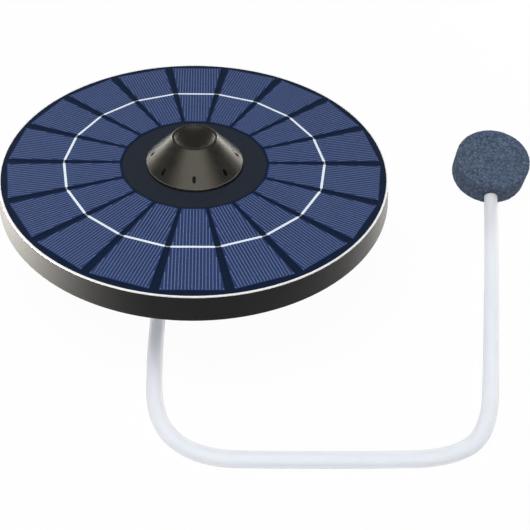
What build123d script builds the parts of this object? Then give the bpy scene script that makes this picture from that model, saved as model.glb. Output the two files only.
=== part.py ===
"""Round floating solar air pump for a pond, with its air hose and air stone.

Millimetres. The origin is on the floor under the middle of the disc, +Z is up
and the hose lies on the floor on the -Y side. A slanted crank pin rocks a
plate without turning it, and the plate works three rubber cups.
"""

import os
from math import atan2, cos, degrees, hypot, pi, radians, sin, sqrt, tan

from build123d import *

os.makedirs("parts", exist_ok=True)

# Clearances
SLIP = 0.05  # radial, a shaft in its bush
GAP = 0.1  # between fixed pieces that are pushed together
FREE = 0.4  # round a piece that moves
OVER = 1.0  # how far a cut runs past a face

# Solar panel
PANEL_R = 78.0
BOARD_T = 1.6
PANEL_BORDER = 2.7
HUB_R = 30.2
CELL_COUNT = 18
CELL_GAP_OUTER = 3.6
CELL_GAP_INNER = 1.2
CELL_T = 0.2
RIBBON_AT = 52.5
RIBBON_W = 1.0
BRIDGE_W = 0.45
RIBBON_T = 0.1
SEAL_W = 0.7
SEAL_H = 0.4

# Tray
RIM_H = 10.0
RIM_SKIRT = 0.8  # of the rim below the tray's underside
RIM_FLARE = 1.3
RIM_ROUND = 0.7
TRAY_WALL = 1.6
TRAY_FLOOR = 2.0
LEDGE_W = 1.8
LEDGE_H = 1.4
RIB_T = 1.2
RING_RIB_R = 34.0
RIB_COUNT = 10
RIB_START = 45.0
RIB_STEP = 30.0
CHIMNEY_WALL = 1.5
CHIMNEY_RISE = 5.0
FLANGE_BOSS_R = 3.0
WIRE_HOLE_R = 2.2
WIRE_NOTCH_W = 5.0

# Cone cap
CONE_R = 19.8
CONE_TOP_R = 9.1
CONE_H = 12.7
CONE_SKIRT = 1.4
CONE_FOOT_H = 0.5  # shadow gap under the cone's edge
CONE_FOOT_IN = 0.6
CONE_WALL = 1.4
CONE_EDGE = 0.3
CONE_BULGE = 1.0
LIP_W = 0.8
LIP_ROUND = 0.5
DISH_EDGE = 0.25
DISH_DEPTH = 2.3
SLOT_COUNT = 8
SLOT_W = 1.5
SLOT_L = 2.9
SLOT_RISE = 4.2
CLIP_COUNT = 3
CLIP_W = 4.0
CLIP_T = 1.2
CLIP_NOSE = 0.6
CLIP_HOOK = 1.0
FILTER_H = 5.0
FILTER_R = 16.0

# Float ring
FLOAT_R = 66.0
FLOAT_T = 10.0
FLOAT_ROUND = 2.5

# Pot, bottom cover and feet
POT_R = 29.5
POT_WALL = 1.8
FLANGE_W = 7.5
FLANGE_T = 2.0
FLANGE_SCREW_OUT = 4.0  # from the pot's side out to the flange's screws
FLANGE_SCREW_ANGLES = (45, 135, 225, 315)
COVER_T = 2.2
COVER_EDGE = 1.0
SPIGOT_H = 2.4
SPIGOT_WALL = 1.7
COVER_SCREW_IN = 5.5  # from the pot's side in to the cover's screws
COVER_SCREW_ANGLES = (15, 165, 195, 345)
POST_R = 2.9
POST_L = 12.0
POST_BLIND = 1.0
SCREW_R = 1.2
SCREW_HEAD_R = 2.4
SCREW_HEAD_T = 1.2
SCREW_GRIP = 6.0
DRIVE_SPAN = 1.1  # of the head's radius
DRIVE_DEPTH = 0.6  # of the head's height
FOOT_R = 4.0
FOOT_H = 2.0
FOOT_SINK = 0.8
FOOT_ROUND = 0.6
FOOT_IN = 8.0  # from the pot's side in to the feet
FOOT_ANGLES = (45, 135, 225, 315)
CORD_T = 1.2  # section of the two sealing rings
HOUSING_SEAL_IN = 0.2  # from the pot's side in to the middle of its upper ring

# Outlet
OUT_ANGLE = 252.5
OUT_RISE = 4.8  # outlet axis above the pump head's base
BORE_R = 1.2
HOSE_R = 3.0
HOSE_BORE_R = 2.0
BARB_SHANK_R = 2.4
BARB_PAD_R = 4.2
BARB_PAD_OUT = 1.0
BARB_PAD_IN = 1.0
BARB_HEX_R = 4.2
BARB_HEX_T = 1.6
BARB_SEAL_T = 1.0
BARB_L = 9.0
BARB_RIDGES = 3
BARB_RISE = 0.35
NUT_T = 2.0
NUT_R = 4.0
NIPPLE_GAP = 2.2  # between the two nipples inside the sleeve

# Pump
PUMP_R = 12.5
PUMP_WALL = 2.5
PUMP_PAD_T = 1.8
HEAD_T = 7.2
HEAD_FLOOR = 1.6
HEAD_ROUND = 0.8
VALVE_PLATE_T = 2.0
SHEET_T = 0.8
CYLINDER_T = 3.0
CUP_COUNT = 3
CUP_AT = 6.0
CUP_R = 3.0
CUP_WALL = 0.6
CUP_TOP = 1.0
CUP_NECK_R = 1.8
STEM_R = 0.8
STEM_BEAD_R = 1.25
STEM_BEAD_T = 0.7
CHAMBER_R = 5.5
OUT_PORT_R = 0.6
OUT_PORT_AT = 4.5
IN_PORT_R = 0.3
IN_PORT_WALL = 0.05  # between a port and the flap's stem hole
INLET_AT = 6.8
INLET_RING_W = 1.5
INLET_RING_T = 1.6
FLAP_R = 1.35
FLAP_T = 0.3
FLAP_STEM_R = 0.4
FLAP_RECESS = 0.5
BALL_R = 1.5
BALL_SEAT = 0.3
BALL_SEAT_W = 0.6
TILT = 8.0
PLATE_T = 1.8
PLATE_HUB_R = 3.0
PLATE_HUB_L = 4.8
PLATE_ROOT_W = 0.6
PLATE_ROUND = 0.4
ARM_W = 3.6
ARM_END_R = 1.9
PIN_R = 1.0
PIN_SEAT = 2.7
CRANK_R = 5.0
CRANK_T = 5.5
CRANK_GAP = 0.7
CRANK_ROUND = 0.5
FRAME_H = 13.5
FRAME_TOP = 2.0
WINDOW_W = 9.0
WINDOW_H = 8.0
WINDOW_ROUND = 1.5
PUMP_SCREW_AT = 11.25
PUMP_SCREW_R = 0.65
PUMP_SCREW_HEAD_R = 1.15
PUMP_SCREW_HEAD_T = 1.0
PUMP_SCREW_GRIP = 7.0

# Motor
MOTOR_R = 10.0
CAN_WALL = 0.8
CAN_FACE = 1.0
CAN_L = 18.5
END_CAP_T = 1.5
END_CAP_SPIGOT = 1.2
END_CAP_WALL = 1.5
END_CAP_ROUND = 0.6
BOSS_R = 3.0
BOSS_L = 1.5
BUSH_R = 2.0
SHAFT_R = 1.0
MAGNET_T = 1.8
MAGNET_L = 12.0
MAGNET_ARC = 130.0
ARMATURE_R = 6.6
ARMATURE_L = 9.0
POLE_COUNT = 3
POLE_W = 2.4
POLE_FACE_T = 1.2
POLE_SLOT = 1.6
POLE_CORE_W = 1.0
COIL_T = 1.3
COIL_FROM_R = 3.6
COMMUTATOR_R = 2.4
COMMUTATOR_L = 2.8
SEGMENT_GAP = 0.3
SEGMENT_CUT = 0.6
BRUSH_T = 0.3
BRUSH_W = 1.6
BRUSH_REACH = 4.0
MOTOR_SCREW_AT = 6.5
MOTOR_SCREW_R = 0.8
MOTOR_SCREW_HEAD_R = 1.6
CUSHION_T = 2.0
COLLAR_T = 1.5
GROOVE_COUNT = 6
GROOVE_W = 3.0
GROOVE_T = 1.0

# Cell, board, switch and button
BATTERY_W = 30.0
BATTERY_L = 50.0
BATTERY_T = 5.0
BATTERY_PAD_T = 0.7
BATTERY_PAD_W = 8.0
BATTERY_INSET = 2.6
BATTERY_ROUND = 1.6
TAPE_L = 4.0
TAPE_INSET = 2.0
FENCE_H = 3.0
FENCE_GAP = 0.5
PCB_W = 26.0
PCB_H = 24.0
PCB_T = 1.6
PCB_RISE = 3.4
CHIP_SIZE = (5.0, 4.0, 1.4)
COIL_SIZE = (5.0, 5.0, 2.4)
LAMP_SIZE = (2.0, 1.2, 0.6)
MOTOR_SOCKET_SIZE = (7.0, 5.0, 3.0)
PANEL_SOCKET_SIZE = (9.0, 5.0, 3.0)
CAPACITOR_R = 2.0
CAPACITOR_L = 3.2
RAIL_W = 3.2
RAIL_WALL = 1.4
RAIL_SLOT = 1.2
SWITCH_W = 6.0
SWITCH_D = 3.5
SWITCH_FLOOR = 1.2
SWITCH_ROUND = 0.5
PLUNGER_R = 1.7
PLUNGER_OUT = 1.5
BUTTON_RISE = 10.8
BUTTON_R = 4.0
BUTTON_PAD_R = 6.2
BUTTON_PAD_OUT = 1.5
BUTTON_PAD_IN = 1.2
BUTTON_PROUD = 1.6
BUTTON_FLANGE_W = 1.1
BUTTON_FLANGE_T = 0.9
BUTTON_STEM_R = 1.4
BUTTON_STEM_L = 0.6
BUTTON_TRAVEL = 1.0
BUTTON_ROUND = 0.8

# Air stone
STONE_R = 17.4
STONE_T = 14.0
STONE_ROUND = 1.6
STONE_X = 139.9
STONE_Y = 46.4
STONE_TILT = 18.0  # degrees, the stiff hose props its far side up
NIPPLE_IN = 7.0
NIPPLE_OUT = 5.5
NIPPLE_CHAMFER = 0.4
HOSE_LEAD = 3.0  # straight past the barb's tip

# Heights, stacked from the floor up
cover_z = FOOT_H
pot_z = cover_z + COVER_T
head_z = pot_z + PUMP_PAD_T
out_z = head_z + OUT_RISE
valve_z = head_z + HEAD_T
sheet_z = valve_z + VALVE_PLATE_T
cylinder_z = sheet_z + SHEET_T
frame_z = cylinder_z + CYLINDER_T
pivot_z = frame_z + BALL_SEAT + BALL_R
motor_z = frame_z + FRAME_H + FRAME_TOP
can_top_z = motor_z + CAN_L
tray_z = motor_z + COLLAR_T
tray_floor_z = tray_z + TRAY_FLOOR
panel_z = tray_z + RIM_H
board_z = panel_z - BOARD_T
crank_top_z = frame_z + FRAME_H - CRANK_GAP
crank_z = crank_top_z - CRANK_T

# Radii that follow from others
chimney_in = MOTOR_R + CUSHION_T
chimney_out = chimney_in + CHIMNEY_WALL
pot_in = POT_R - POT_WALL
flange_screw_r = POT_R + FLANGE_SCREW_OUT
cover_screw_r = POT_R - COVER_SCREW_IN
housing_seal_r = POT_R - HOUSING_SEAL_IN
flange_r = POT_R + FLANGE_W
rim_top_r = PANEL_R + SEAL_W
rim_bottom_r = rim_top_r + RIM_FLARE
pump_bore_r = PUMP_R - PUMP_WALL

# Frames that sub-parts are built in
FLOOR = Plane.XY
SECTION = Plane.XZ
PANEL_SECTION = Plane(origin=(0, 0, panel_z), x_dir=(1, 0, 0), z_dir=(0, -1, 0))
out_dir = Vector(cos(radians(OUT_ANGLE)), sin(radians(OUT_ANGLE)), 0)
OUTLET = Plane(origin=(0, 0, out_z), x_dir=(0, 0, 1), z_dir=out_dir)
button_z = pot_z + BUTTON_RISE
BUTTON = Plane(origin=(0, 0, button_z), x_dir=(1, 0, 0), z_dir=(0, 1, 0))
tilt_dir = Vector(sin(radians(TILT)), 0, cos(radians(TILT)))
WOBBLE = Plane(origin=(0, 0, pivot_z), x_dir=(cos(radians(TILT)), 0, -sin(radians(TILT))), z_dir=tilt_dir)


def ring(plane, start, end, outer, inner=0.0, mode=Mode.ADD, at=((0, 0),)):
    """Discs or rings square to a plane, from start to end along its axis."""
    with BuildSketch(plane.offset(start)) as face:
        with Locations(*at):
            Circle(outer)
        if inner > 0:
            with Locations(*at):
                Circle(inner, mode=Mode.SUBTRACT)
    extrude(face.sketch, amount=end - start, mode=mode)


def turned(points, axis=Axis.Z, plane=SECTION, mode=Mode.ADD):
    """A solid turned from a closed outline given as radius and height."""
    with BuildSketch(plane) as face:
        with BuildLine():
            Polyline(*points, close=True)
        make_face()
    revolve(face.sketch, axis=axis, mode=mode)


def around(radius, angles):
    """Points on a circle, at angles in degrees."""
    return [(radius * cos(radians(a)), radius * sin(radians(a))) for a in angles]


def save(part, name):
    """Label a finished piece and write it."""
    part.label = name
    export_step(part, f"parts/{name}.step")


# Panel: the board, its cells, the ribbon that joins them and the white edge
board_hole_r = chimney_out + FREE
clip_r = CONE_R - CONE_WALL - CLIP_T
clip_angles = [22.5 + 360 / CLIP_COUNT * i for i in range(CLIP_COUNT)]

with BuildPart() as panel_board:
    ring(FLOOR, board_z, panel_z, PANEL_R - GAP, board_hole_r)
    with BuildSketch(FLOOR.offset(board_z)) as clip_slots:
        for angle in clip_angles:
            with Locations(Rot(0, 0, angle)):
                with Locations((clip_r + (CLIP_T + CLIP_NOSE) / 2, 0)):
                    Rectangle(CLIP_T + CLIP_NOSE + 2 * GAP, CLIP_W + 2 * FREE)
    extrude(amount=BOARD_T, mode=Mode.SUBTRACT)
save(panel_board.part, "panel_board")

cell_step = 360 / CELL_COUNT
cell_outer = PANEL_R - PANEL_BORDER


def cell_half_width(at):
    """Half the width of a cell at a distance from the centre."""
    share = (at - HUB_R) / (cell_outer - HUB_R)
    gap = CELL_GAP_INNER + (CELL_GAP_OUTER - CELL_GAP_INNER) * share
    return at * tan(radians(cell_step / 2)) - gap / 2


with BuildPart() as solar_cells:
    with BuildSketch(FLOOR.offset(panel_z)) as cell_faces:
        inner_half = cell_half_width(HUB_R)
        outer_half = cell_half_width(cell_outer)
        with BuildLine():
            Polyline(
                (HUB_R, -inner_half),
                (cell_outer, -outer_half),
                (cell_outer, outer_half),
                (HUB_R, inner_half),
                close=True,
            )
        one_cell = make_face(mode=Mode.PRIVATE)
        with PolarLocations(0, CELL_COUNT, start_angle=90):
            add(one_cell)
    extrude(amount=CELL_T)
save(solar_cells.part, "solar_cells")

ribbon_z = panel_z + CELL_T
with BuildPart() as cell_ribbon:
    with BuildSketch(FLOOR.offset(ribbon_z)):
        corner = cos(radians(cell_step / 2))
        turn = 90 + cell_step / 2
        RegularPolygon((RIBBON_AT + BRIDGE_W / 2) / corner, CELL_COUNT, rotation=turn)
        RegularPolygon((RIBBON_AT - BRIDGE_W / 2) / corner, CELL_COUNT, rotation=turn, mode=Mode.SUBTRACT)
        for i in range(CELL_COUNT):
            with Locations(Rot(0, 0, 90 + cell_step * i)):
                with Locations((RIBBON_AT, 0)):
                    Rectangle(RIBBON_W, 2 * cell_half_width(RIBBON_AT))
    extrude(amount=RIBBON_T)
save(cell_ribbon.part, "cell_ribbon")

with BuildPart() as panel_seal:
    ring(FLOOR, panel_z - SEAL_H, panel_z, rim_top_r, PANEL_R)
    fillet(panel_seal.edges().group_by(Axis.Z)[-1].sort_by(SortBy.LENGTH)[-1], SEAL_H / 2)
save(panel_seal.part, "panel_seal")

# Tray: rim, ledge for the board, ribs, a fence for the cell, bosses and chimney
lip_z = panel_z - SEAL_H
flange_screw_points = around(flange_screw_r, FLANGE_SCREW_ANGLES)
battery_x = RING_RIB_R + RIB_T + BATTERY_INSET + BATTERY_W / 2
boss_top_z = tray_floor_z + SCREW_GRIP - FLANGE_T
wire_hole_at = (chimney_out + pot_in) / 2
wire_holes = [(0, wire_hole_at), (wire_hole_at, 0)]

with BuildPart() as float_tray:
    with BuildSketch(SECTION) as tray_profile:
        with BuildLine():
            Polyline(
                (chimney_in, tray_z),
                (rim_bottom_r - TRAY_WALL, tray_z),
                (rim_bottom_r - TRAY_WALL, tray_z - RIM_SKIRT),
                (rim_bottom_r, tray_z - RIM_SKIRT),
                (rim_top_r, lip_z),
                (PANEL_R, lip_z),
                (PANEL_R, board_z),
                (PANEL_R - LEDGE_W, board_z),
                (PANEL_R - LEDGE_W, board_z - LEDGE_H),
                (rim_top_r - TRAY_WALL, board_z - LEDGE_H - LEDGE_W),
                (rim_top_r - TRAY_WALL, tray_floor_z),
                (chimney_out, tray_floor_z),
                (chimney_out, panel_z + CHIMNEY_RISE),
                (chimney_in, panel_z + CHIMNEY_RISE),
                close=True,
            )
        make_face()
        fillet(tray_profile.vertices().sort_by(Axis.X)[-1], RIM_ROUND)
    revolve(axis=Axis.Z)
    ring(FLOOR, tray_floor_z, board_z, RING_RIB_R + RIB_T, RING_RIB_R)
    with BuildSketch(FLOOR.offset(tray_floor_z)):
        rib_end = PANEL_R - LEDGE_W / 2
        rib_from = RING_RIB_R + RIB_T / 2
        for i in range(RIB_COUNT):
            with Locations(Rot(0, 0, RIB_START + RIB_STEP * i)):
                with Locations(((rib_from + rib_end) / 2, 0)):
                    Rectangle(rib_end - rib_from, RIB_T)
    extrude(amount=board_z - tray_floor_z)
    with BuildSketch(FLOOR.offset(tray_floor_z)):
        with Locations((battery_x, 0)):
            Rectangle(BATTERY_W + 2 * (FENCE_GAP + RIB_T), BATTERY_L + 2 * (FENCE_GAP + RIB_T))
            Rectangle(BATTERY_W + 2 * FENCE_GAP, BATTERY_L + 2 * FENCE_GAP, mode=Mode.SUBTRACT)
            Rectangle(BATTERY_W * 2, BATTERY_L / 2, mode=Mode.SUBTRACT)
    extrude(amount=FENCE_H)
    ring(FLOOR, tray_floor_z, boss_top_z, FLANGE_BOSS_R, at=flange_screw_points)
    ring(FLOOR, tray_z, tray_z + SCREW_GRIP - FLANGE_T, SCREW_R, mode=Mode.SUBTRACT, at=flange_screw_points)
    ring(FLOOR, tray_z, tray_floor_z, WIRE_HOLE_R, mode=Mode.SUBTRACT, at=wire_holes)
    with BuildSketch(FLOOR.offset(tray_floor_z)):
        with Locations((RING_RIB_R, 0)):
            Rectangle(4 * RIB_T, WIRE_NOTCH_W)
    extrude(amount=board_z - tray_floor_z, mode=Mode.SUBTRACT)
save(float_tray.part, "float_tray")

# Cone cap: a thin cone with a dished top, eight air slots and three clips
flank = atan2(CONE_R - CONE_TOP_R, CONE_H - CONE_SKIRT)
wall_across = CONE_WALL / cos(flank)


def cone_outer(rise):
    """Radius of the cone's flank at a height above the panel."""
    return CONE_R - (rise - CONE_SKIRT) * tan(flank)


roof_rise = CONE_H - DISH_DEPTH - CONE_WALL
inner_r = CONE_R - CONE_WALL
inner_bend = CONE_SKIRT - (wall_across - CONE_WALL) / tan(flank)
dish_r = CONE_TOP_R - LIP_W
dish_ball = (dish_r**2 + DISH_DEPTH**2) / (2 * DISH_DEPTH)
dish_mid = CONE_H - DISH_DEPTH + dish_ball - sqrt(dish_ball**2 - (dish_r / 2) ** 2)

with BuildPart() as cone_cap:
    with BuildSketch(PANEL_SECTION) as cone_profile:
        with BuildLine():
            Polyline(
                (0, roof_rise),
                (cone_outer(roof_rise) - wall_across, roof_rise),
                (inner_r, inner_bend),
                (inner_r, 0),
                (CONE_R - CONE_FOOT_IN, 0),
                (CONE_R - CONE_FOOT_IN, CONE_FOOT_H),
                (CONE_R, CONE_FOOT_H),
                (CONE_R, CONE_SKIRT),
                (CONE_TOP_R, CONE_H),
                (dish_r, CONE_H),
            )
            ThreePointArc((dish_r, CONE_H), (dish_r / 2, dish_mid), (0, CONE_H - DISH_DEPTH))
            Line((0, CONE_H - DISH_DEPTH), (0, roof_rise))
        make_face()
        fillet(cone_profile.vertices().sort_by_distance((CONE_R, CONE_FOOT_H))[0], CONE_EDGE)
        fillet(cone_profile.vertices().sort_by_distance((CONE_R, CONE_SKIRT))[0], CONE_BULGE)
        fillet(cone_profile.vertices().sort_by_distance((CONE_TOP_R, CONE_H))[0], LIP_ROUND)
        fillet(cone_profile.vertices().sort_by_distance((dish_r, CONE_H))[0], DISH_EDGE)
    revolve(axis=Axis.Z)
    slot_r = cone_outer(SLOT_RISE)
    for i in range(SLOT_COUNT):
        spin = radians(90 + 360 / SLOT_COUNT * i)
        slot_plane = Plane(
            origin=(slot_r * cos(spin), slot_r * sin(spin), panel_z + SLOT_RISE),
            x_dir=(-sin(spin), cos(spin), 0),
            z_dir=(cos(flank) * cos(spin), cos(flank) * sin(spin), sin(flank)),
        )
        with BuildSketch(slot_plane) as slot_face:
            Ellipse(SLOT_W / 2, SLOT_L / 2)
        extrude(slot_face.sketch, amount=2 * CONE_WALL, both=True, mode=Mode.SUBTRACT)
    for angle in clip_angles:
        clip_plane = Plane(origin=(0, 0, panel_z), x_dir=(cos(radians(angle)), sin(radians(angle)), 0),
                           z_dir=(sin(radians(angle)), -cos(radians(angle)), 0))
        with BuildSketch(clip_plane) as clip_face:
            hook = -BOARD_T - GAP
            with BuildLine():
                Polyline(
                    (clip_r, inner_bend),
                    (inner_r + CONE_WALL / 2, inner_bend),
                    (inner_r + CONE_WALL / 2, 2 * GAP),
                    (clip_r + CLIP_T, 2 * GAP),
                    (clip_r + CLIP_T, hook),
                    (clip_r + CLIP_T + CLIP_NOSE, hook),
                    (clip_r + CLIP_T, hook - CLIP_HOOK),
                    (clip_r, hook - CLIP_HOOK),
                    close=True,
                )
            make_face()
        extrude(clip_face.sketch, amount=CLIP_W / 2, both=True)
save(cone_cap.part, "cone_cap")

filter_in = chimney_out + GAP
filter_out = min(FILTER_R, clip_r - GAP)
filter_clear = wall_across + GAP + GAP
filter_bend = CONE_SKIRT + (CONE_R - filter_clear - filter_out) / tan(flank)
with BuildPart() as intake_filter:
    turned(
        [
            (filter_in, panel_z + GAP),
            (filter_out, panel_z + GAP),
            (filter_out, panel_z + filter_bend),
            (cone_outer(FILTER_H) - filter_clear, panel_z + FILTER_H),
            (filter_in, panel_z + FILTER_H),
        ]
    )
save(intake_filter.part, "intake_filter")

# Float ring under the tray, stepped over the pot's flange
with BuildPart() as foam_float:
    turned(
        [
            (POT_R + FREE, tray_z - FLOAT_T),
            (FLOAT_R, tray_z - FLOAT_T),
            (FLOAT_R, tray_z),
            (flange_r + FREE, tray_z),
            (flange_r + FREE, tray_z - FLANGE_T - GAP),
            (POT_R + FREE, tray_z - FLANGE_T - GAP),
        ]
    )
    rim_edges = foam_float.edges().filter_by(GeomType.CIRCLE).sort_by(SortBy.RADIUS)[-2:]
    fillet(rim_edges.sort_by(Axis.Z)[0], FLOAT_ROUND)
save(foam_float.part, "foam_float")

# Pot: wall, flange, posts, board rails and flat pads for the barb and the button
cover_screw_points = around(cover_screw_r, COVER_SCREW_ANGLES)
post_z = pot_z + SPIGOT_H + GAP
pcb_z = pot_z + PCB_RISE
pad_face_r = POT_R + BARB_PAD_OUT
pad_back_r = pot_in - BARB_PAD_IN
button_face_r = POT_R + BUTTON_PAD_OUT
button_back_r = pot_in - BUTTON_PAD_IN
flange_back = button_back_r - FREE
plunger_end = flange_back - BUTTON_FLANGE_T - BUTTON_STEM_L
switch_front = plunger_end - PLUNGER_OUT
pcb_back = switch_front - SWITCH_D
pcb_y = pcb_back - PCB_T
ring_groove_in = housing_seal_r - CORD_T / 2
ring_groove_out = housing_seal_r + CORD_T / 2

with BuildPart() as pump_housing:
    ring(FLOOR, pot_z, tray_z, POT_R)
    ring(FLOOR, tray_z - FLANGE_T, tray_z, flange_r)
    ring(OUTLET, pad_back_r, pad_face_r, BARB_PAD_R)
    ring(BUTTON, button_back_r, button_face_r, BUTTON_PAD_R)
    ring(FLOOR, pot_z, tray_z, pot_in, mode=Mode.SUBTRACT)
    ring(OUTLET, pad_back_r, pot_in + POT_WALL / 2, BARB_PAD_R)
    ring(BUTTON, button_back_r, pot_in + POT_WALL / 2, BUTTON_PAD_R)
    for point in cover_screw_points:
        with BuildSketch(FLOOR.offset(post_z)) as post_face:
            with Locations(point):
                Circle(POST_R)
            with BuildLine():
                reach = (pot_in + POT_WALL / 2) / cover_screw_r
                Line(point, (point[0] * reach, point[1] * reach))
            trace(line_width=RIB_T)
        extrude(post_face.sketch, amount=POST_L)
    for side in (-1, 1):
        rail_x = side * (PCB_W / 2 - RAIL_SLOT + RAIL_W / 2)
        rail_deep = sqrt(pot_in**2 - (abs(rail_x) + RAIL_W / 2) ** 2) + POT_WALL / 2
        with BuildSketch(FLOOR.offset(pcb_z)) as rail_face:
            rail_front = pcb_y - RAIL_WALL
            with Locations((rail_x, (rail_front + rail_deep) / 2)):
                Rectangle(RAIL_W, rail_deep - rail_front)
            with Locations((0, pcb_y + PCB_T / 2)):
                Rectangle(PCB_W + 2 * GAP, PCB_T + 2 * GAP, mode=Mode.SUBTRACT)
        extrude(rail_face.sketch, amount=PCB_H)
    ring(FLOOR, tray_z - CORD_T, tray_z, ring_groove_out, ring_groove_in, mode=Mode.SUBTRACT)
    ring(OUTLET, pad_back_r - OVER, pad_face_r + OVER, BARB_SHANK_R + GAP, mode=Mode.SUBTRACT)
    ring(BUTTON, button_back_r - OVER, button_face_r + OVER, BUTTON_R + 2 * SLIP, mode=Mode.SUBTRACT)
    ring(BUTTON, POT_R - CORD_T, POT_R, BUTTON_R + CORD_T, mode=Mode.SUBTRACT)
    ring(FLOOR, post_z, post_z + POST_L - POST_BLIND, SCREW_R, mode=Mode.SUBTRACT, at=cover_screw_points)
    with Locations(Plane.XY.offset(tray_z - FLANGE_T) * Rot(180, 0, 0)):
        with Locations(*[(x, -y) for x, y in flange_screw_points]):
            CounterSinkHole(SCREW_R + GAP, SCREW_HEAD_R + GAP, depth=FLANGE_T, counter_sink_angle=90)
save(pump_housing.part, "pump_housing")

with BuildPart() as housing_seal:
    ring(FLOOR, tray_z - CORD_T, tray_z, ring_groove_out, ring_groove_in)
save(housing_seal.part, "housing_seal")


def flat_screw(plane, head_r, shank_r, length):
    """A countersunk screw, its head's top at the plane and its shank along -Z."""
    sink = head_r - shank_r
    with BuildSketch(plane) as head_face:
        Circle(head_r)
    with BuildSketch(plane.offset(-sink)) as neck_face:
        Circle(shank_r)
    loft([head_face.sketch.face(), neck_face.sketch.face()])
    ring(plane, -sink, -length, shank_r)
    with BuildSketch(plane) as slot_face:
        Rectangle(head_r * DRIVE_SPAN, shank_r / 2)
        Rectangle(shank_r / 2, head_r * DRIVE_SPAN)
    extrude(slot_face.sketch, amount=-sink * DRIVE_DEPTH, mode=Mode.SUBTRACT)


with BuildPart() as housing_screws:
    for x, y in flange_screw_points:
        up = Plane(origin=(x, y, tray_z - FLANGE_T), x_dir=(1, 0, 0), z_dir=(0, 0, -1))
        flat_screw(up, SCREW_HEAD_R, SCREW_R - GAP, SCREW_GRIP - GAP)
save(housing_screws.part, "housing_screws")

# Bottom cover with its spigot, screw bosses and recesses for the feet
foot_points = around(POT_R - FOOT_IN, FOOT_ANGLES)
spigot_r = pot_in - GAP
groove_z = pot_z + (SPIGOT_H - CORD_T) / 2
with BuildPart() as bottom_cover:
    ring(FLOOR, cover_z, pot_z, POT_R)
    fillet(bottom_cover.edges().group_by(Axis.Z)[0], COVER_EDGE)
    ring(FLOOR, pot_z, pot_z + SPIGOT_H, spigot_r, spigot_r - SPIGOT_WALL)
    ring(FLOOR, pot_z, post_z, POST_R - GAP, at=cover_screw_points)
    ring(FLOOR, groove_z, groove_z + CORD_T, spigot_r, spigot_r - CORD_T + GAP, mode=Mode.SUBTRACT)
    ring(FLOOR, cover_z, post_z, SCREW_R + GAP, mode=Mode.SUBTRACT, at=cover_screw_points)
    ring(FLOOR, cover_z, cover_z + SCREW_HEAD_T, SCREW_HEAD_R + GAP, mode=Mode.SUBTRACT, at=cover_screw_points)
    ring(FLOOR, cover_z, cover_z + FOOT_SINK, FOOT_R, mode=Mode.SUBTRACT, at=foot_points)
save(bottom_cover.part, "bottom_cover")

with BuildPart() as cover_seal:
    ring(FLOOR, groove_z, groove_z + CORD_T, pot_in, spigot_r - CORD_T + GAP)
save(cover_seal.part, "cover_seal")

with BuildPart() as cover_screws:
    for x, y in cover_screw_points:
        down = Plane(origin=(x, y, cover_z), x_dir=(1, 0, 0), z_dir=(0, 0, 1))
        ring(down, GAP, SCREW_HEAD_T, SCREW_HEAD_R)
        ring(down, SCREW_HEAD_T, post_z + SCREW_GRIP - cover_z, SCREW_R - GAP)
        with BuildSketch(down.offset(GAP)) as slot_face:
            Rectangle(SCREW_HEAD_R * DRIVE_SPAN, SCREW_R / 2)
            Rectangle(SCREW_R / 2, SCREW_HEAD_R * DRIVE_SPAN)
        extrude(slot_face.sketch, amount=SCREW_HEAD_T * DRIVE_DEPTH, mode=Mode.SUBTRACT)
save(cover_screws.part, "cover_screws")

with BuildPart() as rubber_feet:
    ring(FLOOR, 0, cover_z + FOOT_SINK, FOOT_R, at=foot_points)
    fillet(rubber_feet.edges().group_by(Axis.Z)[0], FOOT_ROUND)
save(rubber_feet.part, "rubber_feet")

# Outlet: barb through the pot's wall, its seal and nut, and the inner sleeve
barb_hex_at = pad_face_r + BARB_SEAL_T
barb_from = barb_hex_at + BARB_HEX_T
barb_end = barb_from + BARB_L
nut_from = pad_back_r - NUT_T
nipple_l = (nut_from - PUMP_R - NIPPLE_GAP) / 2
barb_in_end = nut_from - nipple_l
ridge_l = BARB_L / BARB_RIDGES


def ridges(start, count, pitch, big, small):
    """Radius and distance of a barbed stem's outline, ridge by ridge."""
    points = []
    for i in range(count):
        points.append((big, start + pitch * i))
        points.append((small, start + pitch * (i + 1)))
    return points


def along(plane):
    """The plane that holds an axis plane's Z as its own Y, for turned outlines."""
    return Plane(origin=plane.origin, x_dir=plane.x_dir, z_dir=-plane.y_dir)


barb_core_r = HOSE_BORE_R - BARB_RISE
with BuildPart() as outlet_barb:
    out_points = ridges(barb_from, BARB_RIDGES, ridge_l, HOSE_BORE_R, barb_core_r)
    turned(
        [(BORE_R, barb_in_end), (HOSE_BORE_R, barb_in_end), (HOSE_BORE_R, nut_from)]
        + [(BARB_SHANK_R, nut_from), (BARB_SHANK_R, barb_from)]
        + out_points
        + [(BORE_R, barb_end)],
        axis=Axis(OUTLET.origin, out_dir),
        plane=along(OUTLET),
    )
    with BuildSketch(OUTLET.offset(barb_hex_at)) as hex_face:
        RegularPolygon(BARB_HEX_R, 6)
        Circle(BARB_SHANK_R, mode=Mode.SUBTRACT)
    extrude(hex_face.sketch, amount=BARB_HEX_T)
save(outlet_barb.part, "outlet_barb")

with BuildPart() as barb_seal:
    ring(OUTLET, pad_face_r, barb_hex_at, BARB_PAD_R - 2 * GAP, BARB_SHANK_R + GAP)
save(barb_seal.part, "barb_seal")

with BuildPart() as barb_nut:
    with BuildSketch(OUTLET.offset(nut_from)) as nut_face:
        RegularPolygon(NUT_R, 6)
        Circle(BARB_SHANK_R + SLIP, mode=Mode.SUBTRACT)
    extrude(nut_face.sketch, amount=NUT_T)
save(barb_nut.part, "barb_nut")

with BuildPart() as inner_hose:
    ring(OUTLET, PUMP_R + GAP, nut_from - GAP, HOSE_R, HOSE_BORE_R + SLIP)
save(inner_hose.part, "inner_hose")

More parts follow.
